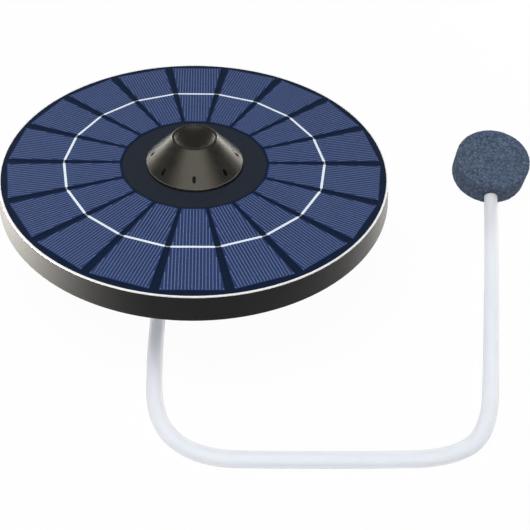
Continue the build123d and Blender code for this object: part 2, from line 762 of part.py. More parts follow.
# Pump head, valves, rubber cups and the plate that holds the cups
cup_angles = [360 / CUP_COUNT * i for i in range(CUP_COUNT)]
cup_points = around(CUP_AT, cup_angles)
pump_screw_angles = [angle + 180 / CUP_COUNT for angle in cup_angles]
pump_screw_points = around(PUMP_SCREW_AT, pump_screw_angles)
screw_hole_r = PUMP_SCREW_R + SLIP
spread = degrees((FLAP_STEM_R + SLIP + IN_PORT_WALL + IN_PORT_R) / INLET_AT)
in_ports = around(INLET_AT, [a + side * spread for a in cup_angles for side in (-1, 1)])
flap_points = around(INLET_AT, cup_angles)
out_ports = around(OUT_PORT_AT, cup_angles)
inlet_dir = OUT_ANGLE - 180

with BuildPart() as pump_pad:
    ring(FLOOR, pot_z, head_z, PUMP_R - PUMP_WALL, PUMP_R - 2 * PUMP_WALL)
save(pump_pad.part, "pump_pad")

with BuildPart() as pump_head:
    ring(FLOOR, head_z, valve_z, PUMP_R)
    fillet(pump_head.edges().group_by(Axis.Z)[0], HEAD_ROUND)
    ring(FLOOR, head_z + HEAD_FLOOR, valve_z, CHAMBER_R, mode=Mode.SUBTRACT)
    ring(FLOOR, valve_z - INLET_RING_T, valve_z, INLET_AT + INLET_RING_W / 2, INLET_AT - INLET_RING_W / 2,
         mode=Mode.SUBTRACT)
    with BuildSketch(FLOOR.offset(valve_z - INLET_RING_T)) as inlet_slot:
        with Locations(Rot(0, 0, inlet_dir)):
            with Locations(((INLET_AT + PUMP_R + OVER) / 2, 0)):
                Rectangle(PUMP_R + OVER - INLET_AT, 2 * INLET_RING_W)
    extrude(inlet_slot.sketch, amount=INLET_RING_T, mode=Mode.SUBTRACT)
    ring(OUTLET, PUMP_R - OVER, PUMP_R + nipple_l, HOSE_BORE_R)
    ring(OUTLET, CHAMBER_R - OVER, PUMP_R + nipple_l, BORE_R, mode=Mode.SUBTRACT)
    ring(FLOOR, head_z, valve_z, screw_hole_r, mode=Mode.SUBTRACT, at=pump_screw_points)
    ring(FLOOR, head_z, head_z + PUMP_SCREW_HEAD_T, PUMP_SCREW_HEAD_R + SLIP, mode=Mode.SUBTRACT,
         at=pump_screw_points)
save(pump_head.part, "pump_head")

flap_seat_z = sheet_z - FLAP_RECESS
with BuildPart() as valve_plate:
    ring(FLOOR, valve_z, sheet_z, PUMP_R)
    ring(FLOOR, flap_seat_z, sheet_z, CUP_R - CUP_WALL, mode=Mode.SUBTRACT, at=cup_points)
    ring(FLOOR, valve_z, sheet_z, OUT_PORT_R, mode=Mode.SUBTRACT, at=out_ports + [(0, 0)])
    ring(FLOOR, valve_z, sheet_z, IN_PORT_R, mode=Mode.SUBTRACT, at=in_ports)
    ring(FLOOR, valve_z, sheet_z, FLAP_STEM_R + SLIP, mode=Mode.SUBTRACT, at=flap_points)
    ring(FLOOR, valve_z, sheet_z, screw_hole_r, mode=Mode.SUBTRACT, at=pump_screw_points)
save(valve_plate.part, "valve_plate")

with BuildPart() as inlet_valves:
    ring(FLOOR, flap_seat_z, flap_seat_z + FLAP_T, FLAP_R, at=flap_points)
    ring(FLOOR, valve_z - FLAP_T, flap_seat_z, FLAP_STEM_R, at=flap_points)
save(inlet_valves.part, "inlet_valves")

with BuildPart() as outlet_valve:
    with BuildSketch(FLOOR.offset(valve_z - FLAP_T)) as lobes:
        for x, y in out_ports:
            with Locations((x, y)):
                Circle(OUT_PORT_R + FLAP_T)
            with Locations((x / 2, y / 2)):
                Rectangle(hypot(x, y), OUT_PORT_R * 2, rotation=degrees(atan2(y, x)))
    extrude(lobes.sketch, amount=FLAP_T)
    ring(FLOOR, valve_z, sheet_z, OUT_PORT_R - SLIP)
save(outlet_valve.part, "outlet_valve")

with BuildPart() as cylinder_plate:
    ring(FLOOR, cylinder_z, frame_z, PUMP_R)
    ring(FLOOR, frame_z, frame_z + 2 * BALL_SEAT, BALL_R + BALL_SEAT_W)
    ring(FLOOR, cylinder_z, frame_z, CUP_R + CUP_WALL / 2, mode=Mode.SUBTRACT, at=cup_points)
    ring(FLOOR, cylinder_z, frame_z, screw_hole_r, mode=Mode.SUBTRACT, at=pump_screw_points)
    with Locations((0, 0, pivot_z + SLIP)):
        Sphere(BALL_R + SLIP, mode=Mode.SUBTRACT)
save(cylinder_plate.part, "cylinder_plate")

with BuildPart() as pivot_ball:
    with Locations((0, 0, pivot_z)):
        Sphere(BALL_R)
save(pivot_ball.part, "pivot_ball")

# Each cup ends just under its arm, which the slanted pin holds at its own height
with BuildPart() as diaphragm:
    ring(FLOOR, sheet_z, cylinder_z, PUMP_R)
    ring(FLOOR, sheet_z, cylinder_z, screw_hole_r, mode=Mode.SUBTRACT, at=pump_screw_points)
    for angle, point in zip(cup_angles, cup_points):
        arm_z = pivot_z - CUP_AT * cos(radians(angle)) * tan(radians(TILT))
        cup_z = arm_z - FREE - CUP_TOP
        bead_z = arm_z + PLATE_T + FREE
        spot = [point]
        ring(FLOOR, cylinder_z, frame_z, CUP_R, mode=Mode.ADD, at=spot)
        with BuildSketch(FLOOR.offset(frame_z)) as cup_base:
            with Locations(point):
                Circle(CUP_R)
        with BuildSketch(FLOOR.offset(cup_z + CUP_TOP)) as cup_crown:
            with Locations(point):
                Circle(CUP_NECK_R)
        loft([cup_base.sketch.face(), cup_crown.sketch.face()])
        ring(FLOOR, cup_z, bead_z, STEM_R, at=spot)
        ring(FLOOR, bead_z, bead_z + STEM_BEAD_T, STEM_BEAD_R, at=spot)
        ring(FLOOR, sheet_z, frame_z - CUP_TOP, CUP_R - CUP_WALL, mode=Mode.SUBTRACT, at=spot)
save(diaphragm.part, "diaphragm")

# Wobble plate: a hub over the ball, with one arm for each cup
stem_hole_r = STEM_R + FREE
with BuildPart() as wobble_plate:
    with BuildSketch(WOBBLE) as arm_face:
        Circle(PLATE_HUB_R + PLATE_ROOT_W)
        for angle in cup_angles:
            with Locations(Rot(0, 0, angle)):
                with Locations((CUP_AT / 2, 0)):
                    Rectangle(CUP_AT, ARM_W)
                with Locations((CUP_AT, 0)):
                    Circle(ARM_END_R)
    extrude(arm_face.sketch, amount=PLATE_T)
    ring(WOBBLE, 0, PLATE_HUB_L, PLATE_HUB_R)
    fillet(wobble_plate.edges().group_by(Axis(WOBBLE.origin, tilt_dir))[-1], PLATE_ROUND)
    ring(WOBBLE, -OVER, PLATE_T + OVER, stem_hole_r, mode=Mode.SUBTRACT, at=cup_points)
    ring(WOBBLE, BALL_R, PLATE_HUB_L + OVER, PIN_R + SLIP, mode=Mode.SUBTRACT)
    with Locations((0, 0, pivot_z)):
        Sphere(BALL_R + GAP, mode=Mode.SUBTRACT)
save(wobble_plate.part, "wobble_plate")

# Crank: weighted on one side, with the slanted pin below and the shaft above
pin_from = BALL_R + 2 * FREE
pin_to = (crank_z + PIN_SEAT - pivot_z) / cos(radians(TILT))
shaft_z = crank_z + PIN_SEAT + FREE
with BuildPart() as crank:
    ring(FLOOR, crank_z, crank_top_z, CRANK_R)
    with BuildSketch(FLOOR.offset(crank_z + CRANK_T / 2)) as flat_face:
        with Locations((CRANK_R + PIN_R, 0)):
            Rectangle(CRANK_R, CRANK_R * 2)
    extrude(flat_face.sketch, amount=CRANK_T / 2, mode=Mode.SUBTRACT)
    fillet(crank.edges().group_by(Axis.Z)[0], CRANK_ROUND)
    ring(WOBBLE, pin_from, pin_to, PIN_R, mode=Mode.SUBTRACT)
    ring(FLOOR, shaft_z, crank_top_z, SHAFT_R, mode=Mode.SUBTRACT)
save(crank.part, "crank")

with BuildPart() as crank_pin:
    ring(WOBBLE, pin_from, pin_to, PIN_R)
save(crank_pin.part, "crank_pin")

with BuildPart() as pump_frame:
    ring(FLOOR, frame_z, motor_z, PUMP_R)
    ring(FLOOR, frame_z, motor_z - FRAME_TOP, pump_bore_r, mode=Mode.SUBTRACT)
    ring(FLOOR, motor_z - FRAME_TOP, motor_z, BOSS_R + GAP, mode=Mode.SUBTRACT)
    for angle in cup_angles:
        side = Plane(origin=(0, 0, frame_z + FRAME_H / 2), x_dir=(0, 0, 1),
                     z_dir=(cos(radians(angle)), sin(radians(angle)), 0))
        with BuildSketch(side) as window_face:
            RectangleRounded(WINDOW_H, WINDOW_W, WINDOW_ROUND)
        extrude(window_face.sketch, amount=PUMP_R + OVER, mode=Mode.SUBTRACT)
    ring(FLOOR, frame_z, frame_z + PUMP_SCREW_GRIP, screw_hole_r, mode=Mode.SUBTRACT, at=pump_screw_points)
    motor_screw_points = around(MOTOR_SCREW_AT, (90, 270))
    with Locations(Plane.XY.offset(motor_z - FRAME_TOP) * Rot(180, 0, 0)):
        with Locations(*motor_screw_points):
            CounterSinkHole(MOTOR_SCREW_R + SLIP, MOTOR_SCREW_HEAD_R + SLIP, depth=FRAME_TOP,
                            counter_sink_angle=90)
save(pump_frame.part, "pump_frame")

with BuildPart() as motor_screws:
    for x, y in motor_screw_points:
        up = Plane(origin=(x, y, motor_z - FRAME_TOP), x_dir=(1, 0, 0), z_dir=(0, 0, -1))
        flat_screw(up, MOTOR_SCREW_HEAD_R, MOTOR_SCREW_R, FRAME_TOP + CAN_FACE)
save(motor_screws.part, "motor_screws")

with BuildPart() as pump_screws:
    ring(FLOOR, head_z, head_z + PUMP_SCREW_HEAD_T, PUMP_SCREW_HEAD_R, at=pump_screw_points)
    ring(FLOOR, head_z + PUMP_SCREW_HEAD_T, frame_z + PUMP_SCREW_GRIP - GAP, PUMP_SCREW_R, at=pump_screw_points)
save(pump_screws.part, "pump_screws")

# Motor: can, magnets, bushes, brushes and end cap, with the rotor inside
can_in = MOTOR_R - CAN_WALL
with BuildPart() as motor_can:
    ring(FLOOR, motor_z, can_top_z, MOTOR_R)
    fillet(motor_can.edges().group_by(Axis.Z)[0], CAN_WALL)
    ring(FLOOR, motor_z - BOSS_L, motor_z, BOSS_R)
    ring(FLOOR, motor_z + CAN_FACE, can_top_z, can_in, mode=Mode.SUBTRACT)
    ring(FLOOR, motor_z - BOSS_L, motor_z + CAN_FACE, BUSH_R, mode=Mode.SUBTRACT)
    ring(FLOOR, motor_z, motor_z + CAN_FACE, MOTOR_SCREW_R, mode=Mode.SUBTRACT, at=motor_screw_points)
save(motor_can.part, "motor_can")

brush_at = COMMUTATOR_R + FREE
end_cap_z = can_top_z + END_CAP_T
with BuildPart() as motor_end_cap:
    ring(FLOOR, can_top_z, end_cap_z, MOTOR_R)
    fillet(motor_end_cap.edges().group_by(Axis.Z)[-1], END_CAP_ROUND)
    ring(FLOOR, can_top_z - END_CAP_SPIGOT, can_top_z, can_in - SLIP, can_in - END_CAP_WALL)
    ring(FLOOR, can_top_z, end_cap_z, BUSH_R, mode=Mode.SUBTRACT)
    with BuildSketch(FLOOR.offset(can_top_z)) as terminal_slots:
        for side in (-1, 1):
            with Locations((side * (brush_at + BRUSH_T / 2), 0)):
                Rectangle(BRUSH_T + 2 * SLIP, BRUSH_W + 2 * SLIP)
    extrude(terminal_slots.sketch, amount=END_CAP_T, mode=Mode.SUBTRACT)
save(motor_end_cap.part, "motor_end_cap")

with BuildPart() as motor_bushes:
    ring(FLOOR, motor_z - BOSS_L, motor_z + CAN_FACE, BUSH_R, SHAFT_R + SLIP)
    ring(FLOOR, can_top_z, end_cap_z, BUSH_R, SHAFT_R + SLIP)
save(motor_bushes.part, "motor_bushes")

armature_z = motor_z + CAN_FACE + (CAN_L - CAN_FACE - COMMUTATOR_L - ARMATURE_L) / 2
with BuildPart() as motor_magnets:
    magnet_z = armature_z + (ARMATURE_L - MAGNET_L) / 2
    ring(FLOOR, magnet_z, magnet_z + MAGNET_L, can_in - SLIP, can_in - MAGNET_T)
    with BuildSketch(FLOOR.offset(magnet_z)) as magnet_gaps:
        for side in (-1, 1):
            with BuildLine():
                reach = MOTOR_R / sin(radians(MAGNET_ARC / 2))
                half = radians(MAGNET_ARC / 2)
                Polyline(
                    (0, 0),
                    (reach * cos(half), side * reach * sin(half)),
                    (-reach * cos(half), side * reach * sin(half)),
                    close=True,
                )
            make_face()
    extrude(magnet_gaps.sketch, amount=MAGNET_L, mode=Mode.SUBTRACT)
save(motor_magnets.part, "motor_magnets")

with BuildPart() as motor_shaft:
    ring(FLOOR, shaft_z, end_cap_z, SHAFT_R)
save(motor_shaft.part, "motor_shaft")

pole_angles = [360 / POLE_COUNT * i for i in range(POLE_COUNT)]
neck_out = ARMATURE_R - POLE_FACE_T
with BuildPart() as armature:
    with BuildSketch(FLOOR.offset(armature_z)) as lamination:
        Circle(ARMATURE_R)
        Circle(neck_out, mode=Mode.SUBTRACT)
        for angle in pole_angles:
            with Locations(Rot(0, 0, angle + 180 / POLE_COUNT)):
                with Locations((neck_out, 0)):
                    Rectangle(POLE_FACE_T * 4, POLE_SLOT, mode=Mode.SUBTRACT)
        Circle(SHAFT_R + POLE_CORE_W)
        for angle in pole_angles:
            with Locations(Rot(0, 0, angle)):
                with Locations((neck_out / 2 + SHAFT_R / 2, 0)):
                    Rectangle(neck_out, POLE_W)
        Circle(SHAFT_R, mode=Mode.SUBTRACT)
    extrude(lamination.sketch, amount=ARMATURE_L)
save(armature.part, "armature")

coil_out = sqrt((neck_out - GAP) ** 2 - (POLE_W / 2 + COIL_T) ** 2)
with BuildPart() as armature_coils:
    for angle in pole_angles:
        pole = Plane(origin=(0, 0, armature_z + ARMATURE_L / 2), x_dir=(0, 0, 1),
                     z_dir=(cos(radians(angle)), sin(radians(angle)), 0))
        with BuildSketch(pole.offset(COIL_FROM_R)) as coil_face:
            RectangleRounded(ARMATURE_L + 2 * COIL_T, POLE_W + 2 * COIL_T, COIL_T - GAP)
            Rectangle(ARMATURE_L + 2 * SLIP, POLE_W + 2 * SLIP, mode=Mode.SUBTRACT)
        extrude(coil_face.sketch, amount=coil_out - COIL_FROM_R)
save(armature_coils.part, "armature_coils")

commutator_z = can_top_z - COMMUTATOR_L
with BuildPart() as commutator:
    ring(FLOOR, commutator_z, can_top_z - FREE, COMMUTATOR_R, SHAFT_R)
    with BuildSketch(FLOOR.offset(commutator_z)) as segment_gaps:
        for angle in pole_angles:
            with Locations(Rot(0, 0, angle)):
                with Locations((COMMUTATOR_R, 0)):
                    Rectangle(2 * SEGMENT_CUT, SEGMENT_GAP)
    extrude(segment_gaps.sketch, amount=COMMUTATOR_L, mode=Mode.SUBTRACT)
save(commutator.part, "commutator")

with BuildPart() as motor_brushes:
    with BuildSketch(FLOOR.offset(can_top_z - COMMUTATOR_L + FREE)) as leaf_face:
        for side in (-1, 1):
            with Locations((side * (brush_at + BRUSH_T / 2), 0)):
                Rectangle(BRUSH_T, BRUSH_W)
    extrude(leaf_face.sketch, amount=COMMUTATOR_L - FREE + END_CAP_T + FREE)
    with BuildSketch(FLOOR.offset(can_top_z - COMMUTATOR_L + FREE)) as blade_face:
        for side in (-1, 1):
            with Locations((side * (brush_at + BRUSH_T / 2), 0)):
                Rectangle(BRUSH_T, BRUSH_REACH)
    extrude(blade_face.sketch, amount=BRUSH_W)
save(motor_brushes.part, "motor_brushes")

# Rubber sleeve with air grooves, and a collar between the frame and the tray
with BuildPart() as motor_cushion:
    ring(FLOOR, motor_z, tray_z, chimney_out, MOTOR_R)
    ring(FLOOR, tray_z, panel_z + CHIMNEY_RISE, chimney_in, MOTOR_R)
    with BuildSketch(FLOOR.offset(motor_z)) as grooves:
        for i in range(GROOVE_COUNT):
            with Locations(Rot(0, 0, 360 / GROOVE_COUNT * (i + 0.5))):
                with Locations((chimney_in, 0)):
                    Rectangle(2 * GROOVE_T, GROOVE_W)
                with Locations((chimney_out, 0)):
                    Rectangle(2 * CHIMNEY_WALL, GROOVE_W)
    extrude(grooves.sketch, amount=panel_z + CHIMNEY_RISE - motor_z, mode=Mode.SUBTRACT)
save(motor_cushion.part, "motor_cushion")

# Cell in the tray, on two pads
battery_z = tray_floor_z + BATTERY_PAD_T
with BuildPart() as battery_pads:
    with BuildSketch(FLOOR.offset(tray_floor_z)):
        with GridLocations(0, BATTERY_L - 2 * BATTERY_PAD_W, 1, 2):
            with Locations((battery_x, 0)):
                Rectangle(BATTERY_W - 2 * BATTERY_ROUND, BATTERY_PAD_W)
    extrude(amount=BATTERY_PAD_T)
save(battery_pads.part, "battery_pads")

with BuildPart() as battery_cell:
    with BuildSketch(FLOOR.offset(battery_z)):
        with Locations((battery_x, TAPE_L / 2)):
            Rectangle(BATTERY_W, BATTERY_L - TAPE_L)
    extrude(amount=BATTERY_T)
    fillet(battery_cell.edges().filter_by(Axis.Y), BATTERY_ROUND)
    with BuildSketch(FLOOR.offset(battery_z + BATTERY_T / 4)):
        with Locations((battery_x, -BATTERY_L / 2 + TAPE_L)):
            Rectangle(BATTERY_W - 2 * TAPE_INSET, 2 * TAPE_L)
    extrude(amount=BATTERY_T / 2)
save(battery_cell.part, "battery_cell")

# Circuit board in its rails, with the switch behind the button
with BuildPart() as circuit_board:
    with BuildSketch(FLOOR.offset(pcb_z)):
        with Locations((0, pcb_y + PCB_T / 2)):
            Rectangle(PCB_W, PCB_T)
    extrude(amount=PCB_H)
save(circuit_board.part, "circuit_board")

with BuildPart() as circuit_parts:
    front = Plane(origin=(0, pcb_y, pcb_z), x_dir=(1, 0, 0), z_dir=(0, -1, 0))
    back = Plane(origin=(0, pcb_back, pcb_z), x_dir=(-1, 0, 0), z_dir=(0, 1, 0))
    low_row = PCB_H / 4
    mid_row = PCB_H / 2
    socket_row = PCB_H - MOTOR_SOCKET_SIZE[1] / 2 - RAIL_WALL
    for plane, across, up, size in (
        (front, PCB_W / 6, low_row, CHIP_SIZE),
        (front, -PCB_W / 5, low_row + COIL_SIZE[1] / 5, COIL_SIZE),
        (front, PCB_W / 5, mid_row, LAMP_SIZE),
        (front, PCB_W / 12, mid_row, LAMP_SIZE),
        (back, -PCB_W / 4, socket_row, MOTOR_SOCKET_SIZE),
        (back, PCB_W / 5, socket_row, PANEL_SOCKET_SIZE),
    ):
        with BuildSketch(plane) as chip_face:
            with Locations((across, up)):
                Rectangle(size[0], size[1])
        extrude(chip_face.sketch, amount=size[2])
    capacitor_at = PCB_W / 2 - RAIL_SLOT - CAPACITOR_R - RAIL_WALL
    ring(back, 0, CAPACITOR_L, CAPACITOR_R, at=[(capacitor_at, low_row)])
save(circuit_parts.part, "circuit_parts")

with BuildPart() as switch_body:
    with BuildSketch(BUTTON.offset(pcb_back)):
        Rectangle(SWITCH_W, SWITCH_W)
    extrude(amount=SWITCH_D)
    fillet(switch_body.edges().filter_by(Axis.Y), SWITCH_ROUND)
    ring(BUTTON, pcb_back + SWITCH_FLOOR, switch_front, PLUNGER_R + SLIP, mode=Mode.SUBTRACT)
save(switch_body.part, "switch_body")

plunger_from = pcb_back + SWITCH_FLOOR + BUTTON_TRAVEL + FREE / 2
with BuildPart() as switch_plunger:
    ring(BUTTON, plunger_from, plunger_end, PLUNGER_R)
save(switch_plunger.part, "switch_plunger")

with BuildPart() as power_button:
    ring(BUTTON, flange_back - BUTTON_FLANGE_T, button_face_r + BUTTON_PROUD, BUTTON_R)
    fillet(power_button.edges().group_by(Axis.Y)[-1], BUTTON_ROUND)
    ring(BUTTON, flange_back - BUTTON_FLANGE_T, flange_back, BUTTON_R + BUTTON_FLANGE_W)
    ring(BUTTON, plunger_end, flange_back - BUTTON_FLANGE_T, BUTTON_STEM_R)
save(power_button.part, "power_button")

with BuildPart() as button_seal:
    ring(BUTTON, POT_R - CORD_T, POT_R, BUTTON_R + CORD_T, BUTTON_R + SLIP)
save(button_seal.part, "button_seal")

# Air hose: from the barb down to the floor, round two bends and up to the stone
prop = radians(STONE_TILT)
stone_z = (STONE_R - STONE_ROUND) * sin(prop) + (STONE_T / 2 - STONE_ROUND) * cos(prop) + STONE_ROUND
barb_root = OUTLET.origin + out_dir * (barb_from + GAP)
barb_tip = OUTLET.origin + out_dir * (barb_end + HOSE_LEAD)
floor_z = HOSE_R
last_bend = Vector(136.0, 20.2, floor_z)
stone_at = Vector(STONE_X, STONE_Y, stone_z)
stone_way = Vector(STONE_X - last_bend.X, STONE_Y - last_bend.Y, 0).normalized()
stone_dir = stone_way * cos(prop) + Vector(0, 0, sin(prop))
hose_route = [
    barb_root,
    barb_tip,
    Vector(-15.0, -66.5, floor_z),
    Vector(-13.6, -99.4, floor_z),
    Vector(2.3, -114.8, floor_z),
    Vector(31.5, -115.3, floor_z),
    Vector(62.0, -115.4, floor_z),
    Vector(91.6, -114.7, floor_z),
    Vector(107.0, -103.0, floor_z),
    Vector(115.6, -67.9, floor_z),
    Vector(125.1, -27.9, floor_z),
    Vector(131.7, 0.6, floor_z),
    last_bend,
    stone_at - stone_dir * (STONE_R + GAP),
]


def route_radii(points):
    """The widest tangent arc at each bend of a route: 0.45 of its shorter run."""
    radii = []
    for before, here, after in zip(points, points[1:], points[2:]):
        run_in = here - before
        run_out = after - here
        half_turn = radians(run_in.get_angle(run_out)) / 2
        radii.append(0.45 * min(run_in.length, run_out.length) / tan(half_turn))
    return radii


hose_radii = route_radii(hose_route)
with BuildPart() as air_hose:
    with BuildLine() as hose_path:
        FilletPolyline(*hose_route, radius=hose_radii)
    with BuildSketch(Plane(origin=hose_route[0], z_dir=out_dir)):
        Circle(HOSE_R)
        Circle(HOSE_BORE_R + SLIP / 2, mode=Mode.SUBTRACT)
    sweep()
save(air_hose.part, "air_hose")

hose_length = sum(edge.length for edge in hose_path.edges())
hose_section = pi * (HOSE_R**2 - (HOSE_BORE_R + SLIP / 2) ** 2)
print("hose runs", [round((b - a).length, 1) for a, b in zip(hose_route, hose_route[1:])])
print("hose radii", [round(r, 1) for r in hose_radii])
print("hose length", round(hose_length, 1))
print("hose volume", round(air_hose.part.volume, 1), "section x length", round(hose_section * hose_length, 1))

# Air stone with the nipple that the hose is pushed over, lying on its near edge
stone_up = Vector(0, 0, cos(prop)) - stone_way * sin(prop)
STONE_MID = Plane(origin=stone_at, x_dir=stone_dir, z_dir=stone_up)
STONE = Plane(origin=stone_at, x_dir=stone_up, z_dir=-stone_dir)
with BuildPart() as air_stone:
    with BuildSketch(STONE_MID):
        Circle(STONE_R)
    extrude(amount=STONE_T / 2, both=True)
    fillet(air_stone.edges().filter_by(GeomType.CIRCLE), STONE_ROUND)
    ring(STONE, STONE_R - NIPPLE_IN, STONE_R + OVER, HOSE_BORE_R, mode=Mode.SUBTRACT)
save(air_stone.part, "air_stone")

with BuildPart() as stone_nipple:
    ring(STONE, STONE_R - NIPPLE_IN, STONE_R + NIPPLE_OUT, HOSE_BORE_R, BORE_R)
    tip_edges = stone_nipple.edges().filter_by(GeomType.CIRCLE).sort_by(Axis(stone_at, -stone_dir))[-2:]
    chamfer(tip_edges.sort_by(SortBy.RADIUS)[-1], NIPPLE_CHAMFER)
save(stone_nipple.part, "stone_nipple")
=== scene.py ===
"""Looks of a round floating solar air pump with its air hose and air stone, on a pale floor.

Metres. The origin is on the floor under the middle of the disc and +Z is up.
The hose lies on the floor in front, on the -Y side, and ends in the stone at the right, on +X.
"""

from math import cos, pi, radians, sin, tan

import bmesh
import bpy
from mathutils import Matrix, Vector


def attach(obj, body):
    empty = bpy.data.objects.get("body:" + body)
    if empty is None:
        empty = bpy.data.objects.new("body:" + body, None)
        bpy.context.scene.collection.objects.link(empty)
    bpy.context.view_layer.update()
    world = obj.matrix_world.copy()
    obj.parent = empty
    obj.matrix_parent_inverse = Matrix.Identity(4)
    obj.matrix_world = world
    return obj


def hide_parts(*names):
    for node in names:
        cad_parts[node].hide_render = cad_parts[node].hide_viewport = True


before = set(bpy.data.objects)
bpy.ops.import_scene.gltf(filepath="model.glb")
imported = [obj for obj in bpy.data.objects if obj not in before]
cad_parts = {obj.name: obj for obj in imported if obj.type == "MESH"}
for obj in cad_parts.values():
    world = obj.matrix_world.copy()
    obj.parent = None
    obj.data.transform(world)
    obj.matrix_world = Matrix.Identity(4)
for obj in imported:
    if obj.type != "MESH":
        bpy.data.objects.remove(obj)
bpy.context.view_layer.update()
scene = bpy.context.scene
MM = 0.001

# Camera, placed and turned as the photograph was taken. Turns are in degrees, the lens and the
# sensor in millimetres, and the picture's width and shift in pixels.
CAMERA_AT = (0.00526, -0.30086, 0.26321)
CAMERA_TURN = (47.716, -0.98, -0.728)
CAMERA_LENS = 61.17
CAMERA_SENSOR = 36
CAMERA_NEAREST = 0.01
PICTURE_WIDTH = 530
PICTURE_SHIFT = 39

# Panel
PANEL_TOP = 46.0 * MM
CELL_T = 0.2 * MM
CELL_COUNT = 18
HUB_R = 30.2 * MM
HUB_EDGE_OUT = 0.3 * MM
HUB_EDGE_IN = 1.4 * MM
CELLS_R = 75.3 * MM
CELL_GAP_INNER = 1.2 * MM
CELL_GAP_OUTER = 3.6 * MM
CELL_INNER_HALF = HUB_R * tan(pi / CELL_COUNT) - CELL_GAP_INNER / 2
CELL_OUTER_HALF = CELLS_R * tan(pi / CELL_COUNT) - CELL_GAP_OUTER / 2
FINGER_PITCH = 1.22 * MM
FINGER_W = 0.3 * MM
FINGER_T = 0.03 * MM
FINGER_CLEAR = 0.3 * MM
FINGERS_PER_CELL = 19

# Where the ribbon is darker, as shares of a cell's turn to either side of a gap
JOINT_CORE = 0.045
JOINT_EDGE = 0.068

# Foam float ring, stepped over the pot's flange
FLOAT_IN_R = 29.9 * MM
FLOAT_STEP_R = 37.4 * MM
FLOAT_OUT_R = 66.0 * MM
FLOAT_LOW = 26.0 * MM
FLOAT_STEP = 33.9 * MM
FLOAT_TOP = 36.0 * MM
FLOAT_ROUND = 2.5 * MM
FLOAT_STEPS = 160
FLOAT_CORNER_STEPS = 8

# Filter foam behind the cone's slots, cut back under its flank
FILTER_IN_R = 13.6 * MM
FILTER_OUT_R = 16.0 * MM
FILTER_TOP_R = 14.26 * MM
FILTER_LOW = 46.1 * MM
FILTER_BEND = 49.17 * MM
FILTER_TOP = 51.0 * MM
FILTER_STEPS = 96
FILTER_SOFT = 0.25 * MM

# Foam pads under the cell
PAD_L = 26.8 * MM
PAD_W = 8.0 * MM
PAD_T = 0.7 * MM
PAD_X = 52.8 * MM
PAD_Y = 17.0 * MM
PAD_Z = 38.35 * MM
PAD_SOFT = 0.2 * MM

# Air hose, out of the pot's barb, along the floor and up to the stone's nipple
HOSE_R = 3.0 * MM
HOSE_WALL = 0.95 * MM
HOSE_STEPS_ALONG = 16
HOSE_STEPS_ROUND = 8
HOSE_CLEAR = 0.7
HOSE_CLEAR_AT_STONE = 0.3
HOSE_CLOUDS_FROM_Y = 4 * MM
HOSE_CLOUDS_TO_Y = 22 * MM
OUT_ANGLE = radians(252.5)
BARB_ROOT_R = 33.2 * MM
BARB_TIP_R = 45.1 * MM
BARB_Z = 10.8 * MM
HOSE_FLOOR_ROUTE = [
    (-15.0, -66.5, 3.0),
    (-13.6, -99.4, 3.0),
    (2.3, -114.8, 3.0),
    (31.5, -115.3, 3.0),
    (62.0, -115.4, 3.0),
    (91.6, -114.7, 3.0),
    (107.0, -103.0, 3.0),
    (115.6, -67.9, 3.0),
    (125.1, -27.9, 3.0),
    (131.7, 0.6, 3.0),
    (136.0, 20.2, 3.0),
]

# Air stone, on its near edge, with its far side propped up by the hose
STONE_X = 139.9 * MM
STONE_Y = 46.4 * MM
STONE_R = 17.4 * MM
STONE_T = 14.0 * MM
STONE_ROUND = 1.6 * MM
STONE_TILT = radians(18)
STONE_SEAT = 0.1 * MM
STONE_SKIN = 0.22 * MM
STONE_STEPS = 96
STONE_CORNER_STEPS = 6
STONE_MESH = 0.3 * MM
GRAIN_SIZE = 0.8 * MM
GRAIN_RELIEF = 0.3 * MM
GRAINS_PER_M2 = 7.0e5
GRAIN_SEED = 7

# Floor, of which all but a weak shadow is seen as white
FLOOR_REACH = 4.0
FLOOR_GREY = 0.8
FLOOR_WHITE = 0.97

# Backdrop, dark but for a pale card in front. Pairs run along an axis of the direction looked in.
WORLD_DARK = 0.06
WORLD_FRONT = 0.55
CARD_SIDES = (0.75, 0.4)
CARD_FRONT = (0.1, -0.4)
CARD_NEAR_TOP = (-0.25, -0.42)
CARD_NEAR_TOP_SHARE = 0.6
HORIZON = (0.16, 0.06)

# Lamps, with levels at which 1 shows a white card as white
KEY_AT = (-0.2, -0.2, 1.0)
KEY_AIM = (0.03, 0, 0.03)
KEY_SIZE = (0.9, 0.9)
KEY_LEVEL = 1.0
KICKER_X = 0.5
KICKER_Y = 0.73
KICKER_Z = 0.22
KICKER_AIM = (0, 0, 0.05)
KICKER_SIZE = (0.14, 0.2)
KICKER_LEVEL = 0.1
LEFT_STRIP_AT = (-0.18, -0.02, 0.007)
LEFT_STRIP_AIM = (-0.18, -0.02, 1.0)
LEFT_STRIP_SIZE = (0.06, 0.08)
LEFT_STRIP_LEVEL = 0.42
RIGHT_STRIP_AT = (0.37, 0.26, 0.012)
RIGHT_STRIP_AIM = (0, 0, 0.012)
RIGHT_STRIP_SIZE = (0.24, 0.016)
RIGHT_STRIP_LEVEL = 1.15
STRIP_COLOUR = (1, 0.965, 0.9)


# Trees of nodes

# Sockets that go by number, because other kinds of the same node share their names
MIX_FIRST = 6
MIX_SECOND = 7
MIX_RESULT = 2
RANDOM_TURN_LOW = 0
RANDOM_TURN_HIGH = 1
RANDOM_SIZE_LOW = 2
RANDOM_SIZE_HIGH = 3
RANDOM_SIZE = 1


def put(tree, kind, inputs=None, **settings):
    """Adds a node. An input is given by name or number, as a value or as another node's output."""
    node = tree.nodes.new(kind)
    for setting, value in settings.items():
        setattr(node, setting, value)
    for socket, value in (inputs or {}).items():
        if isinstance(value, bpy.types.NodeSocket):
            tree.links.new(value, node.inputs[socket])
        else:
            node.inputs[socket].default_value = value
    return node


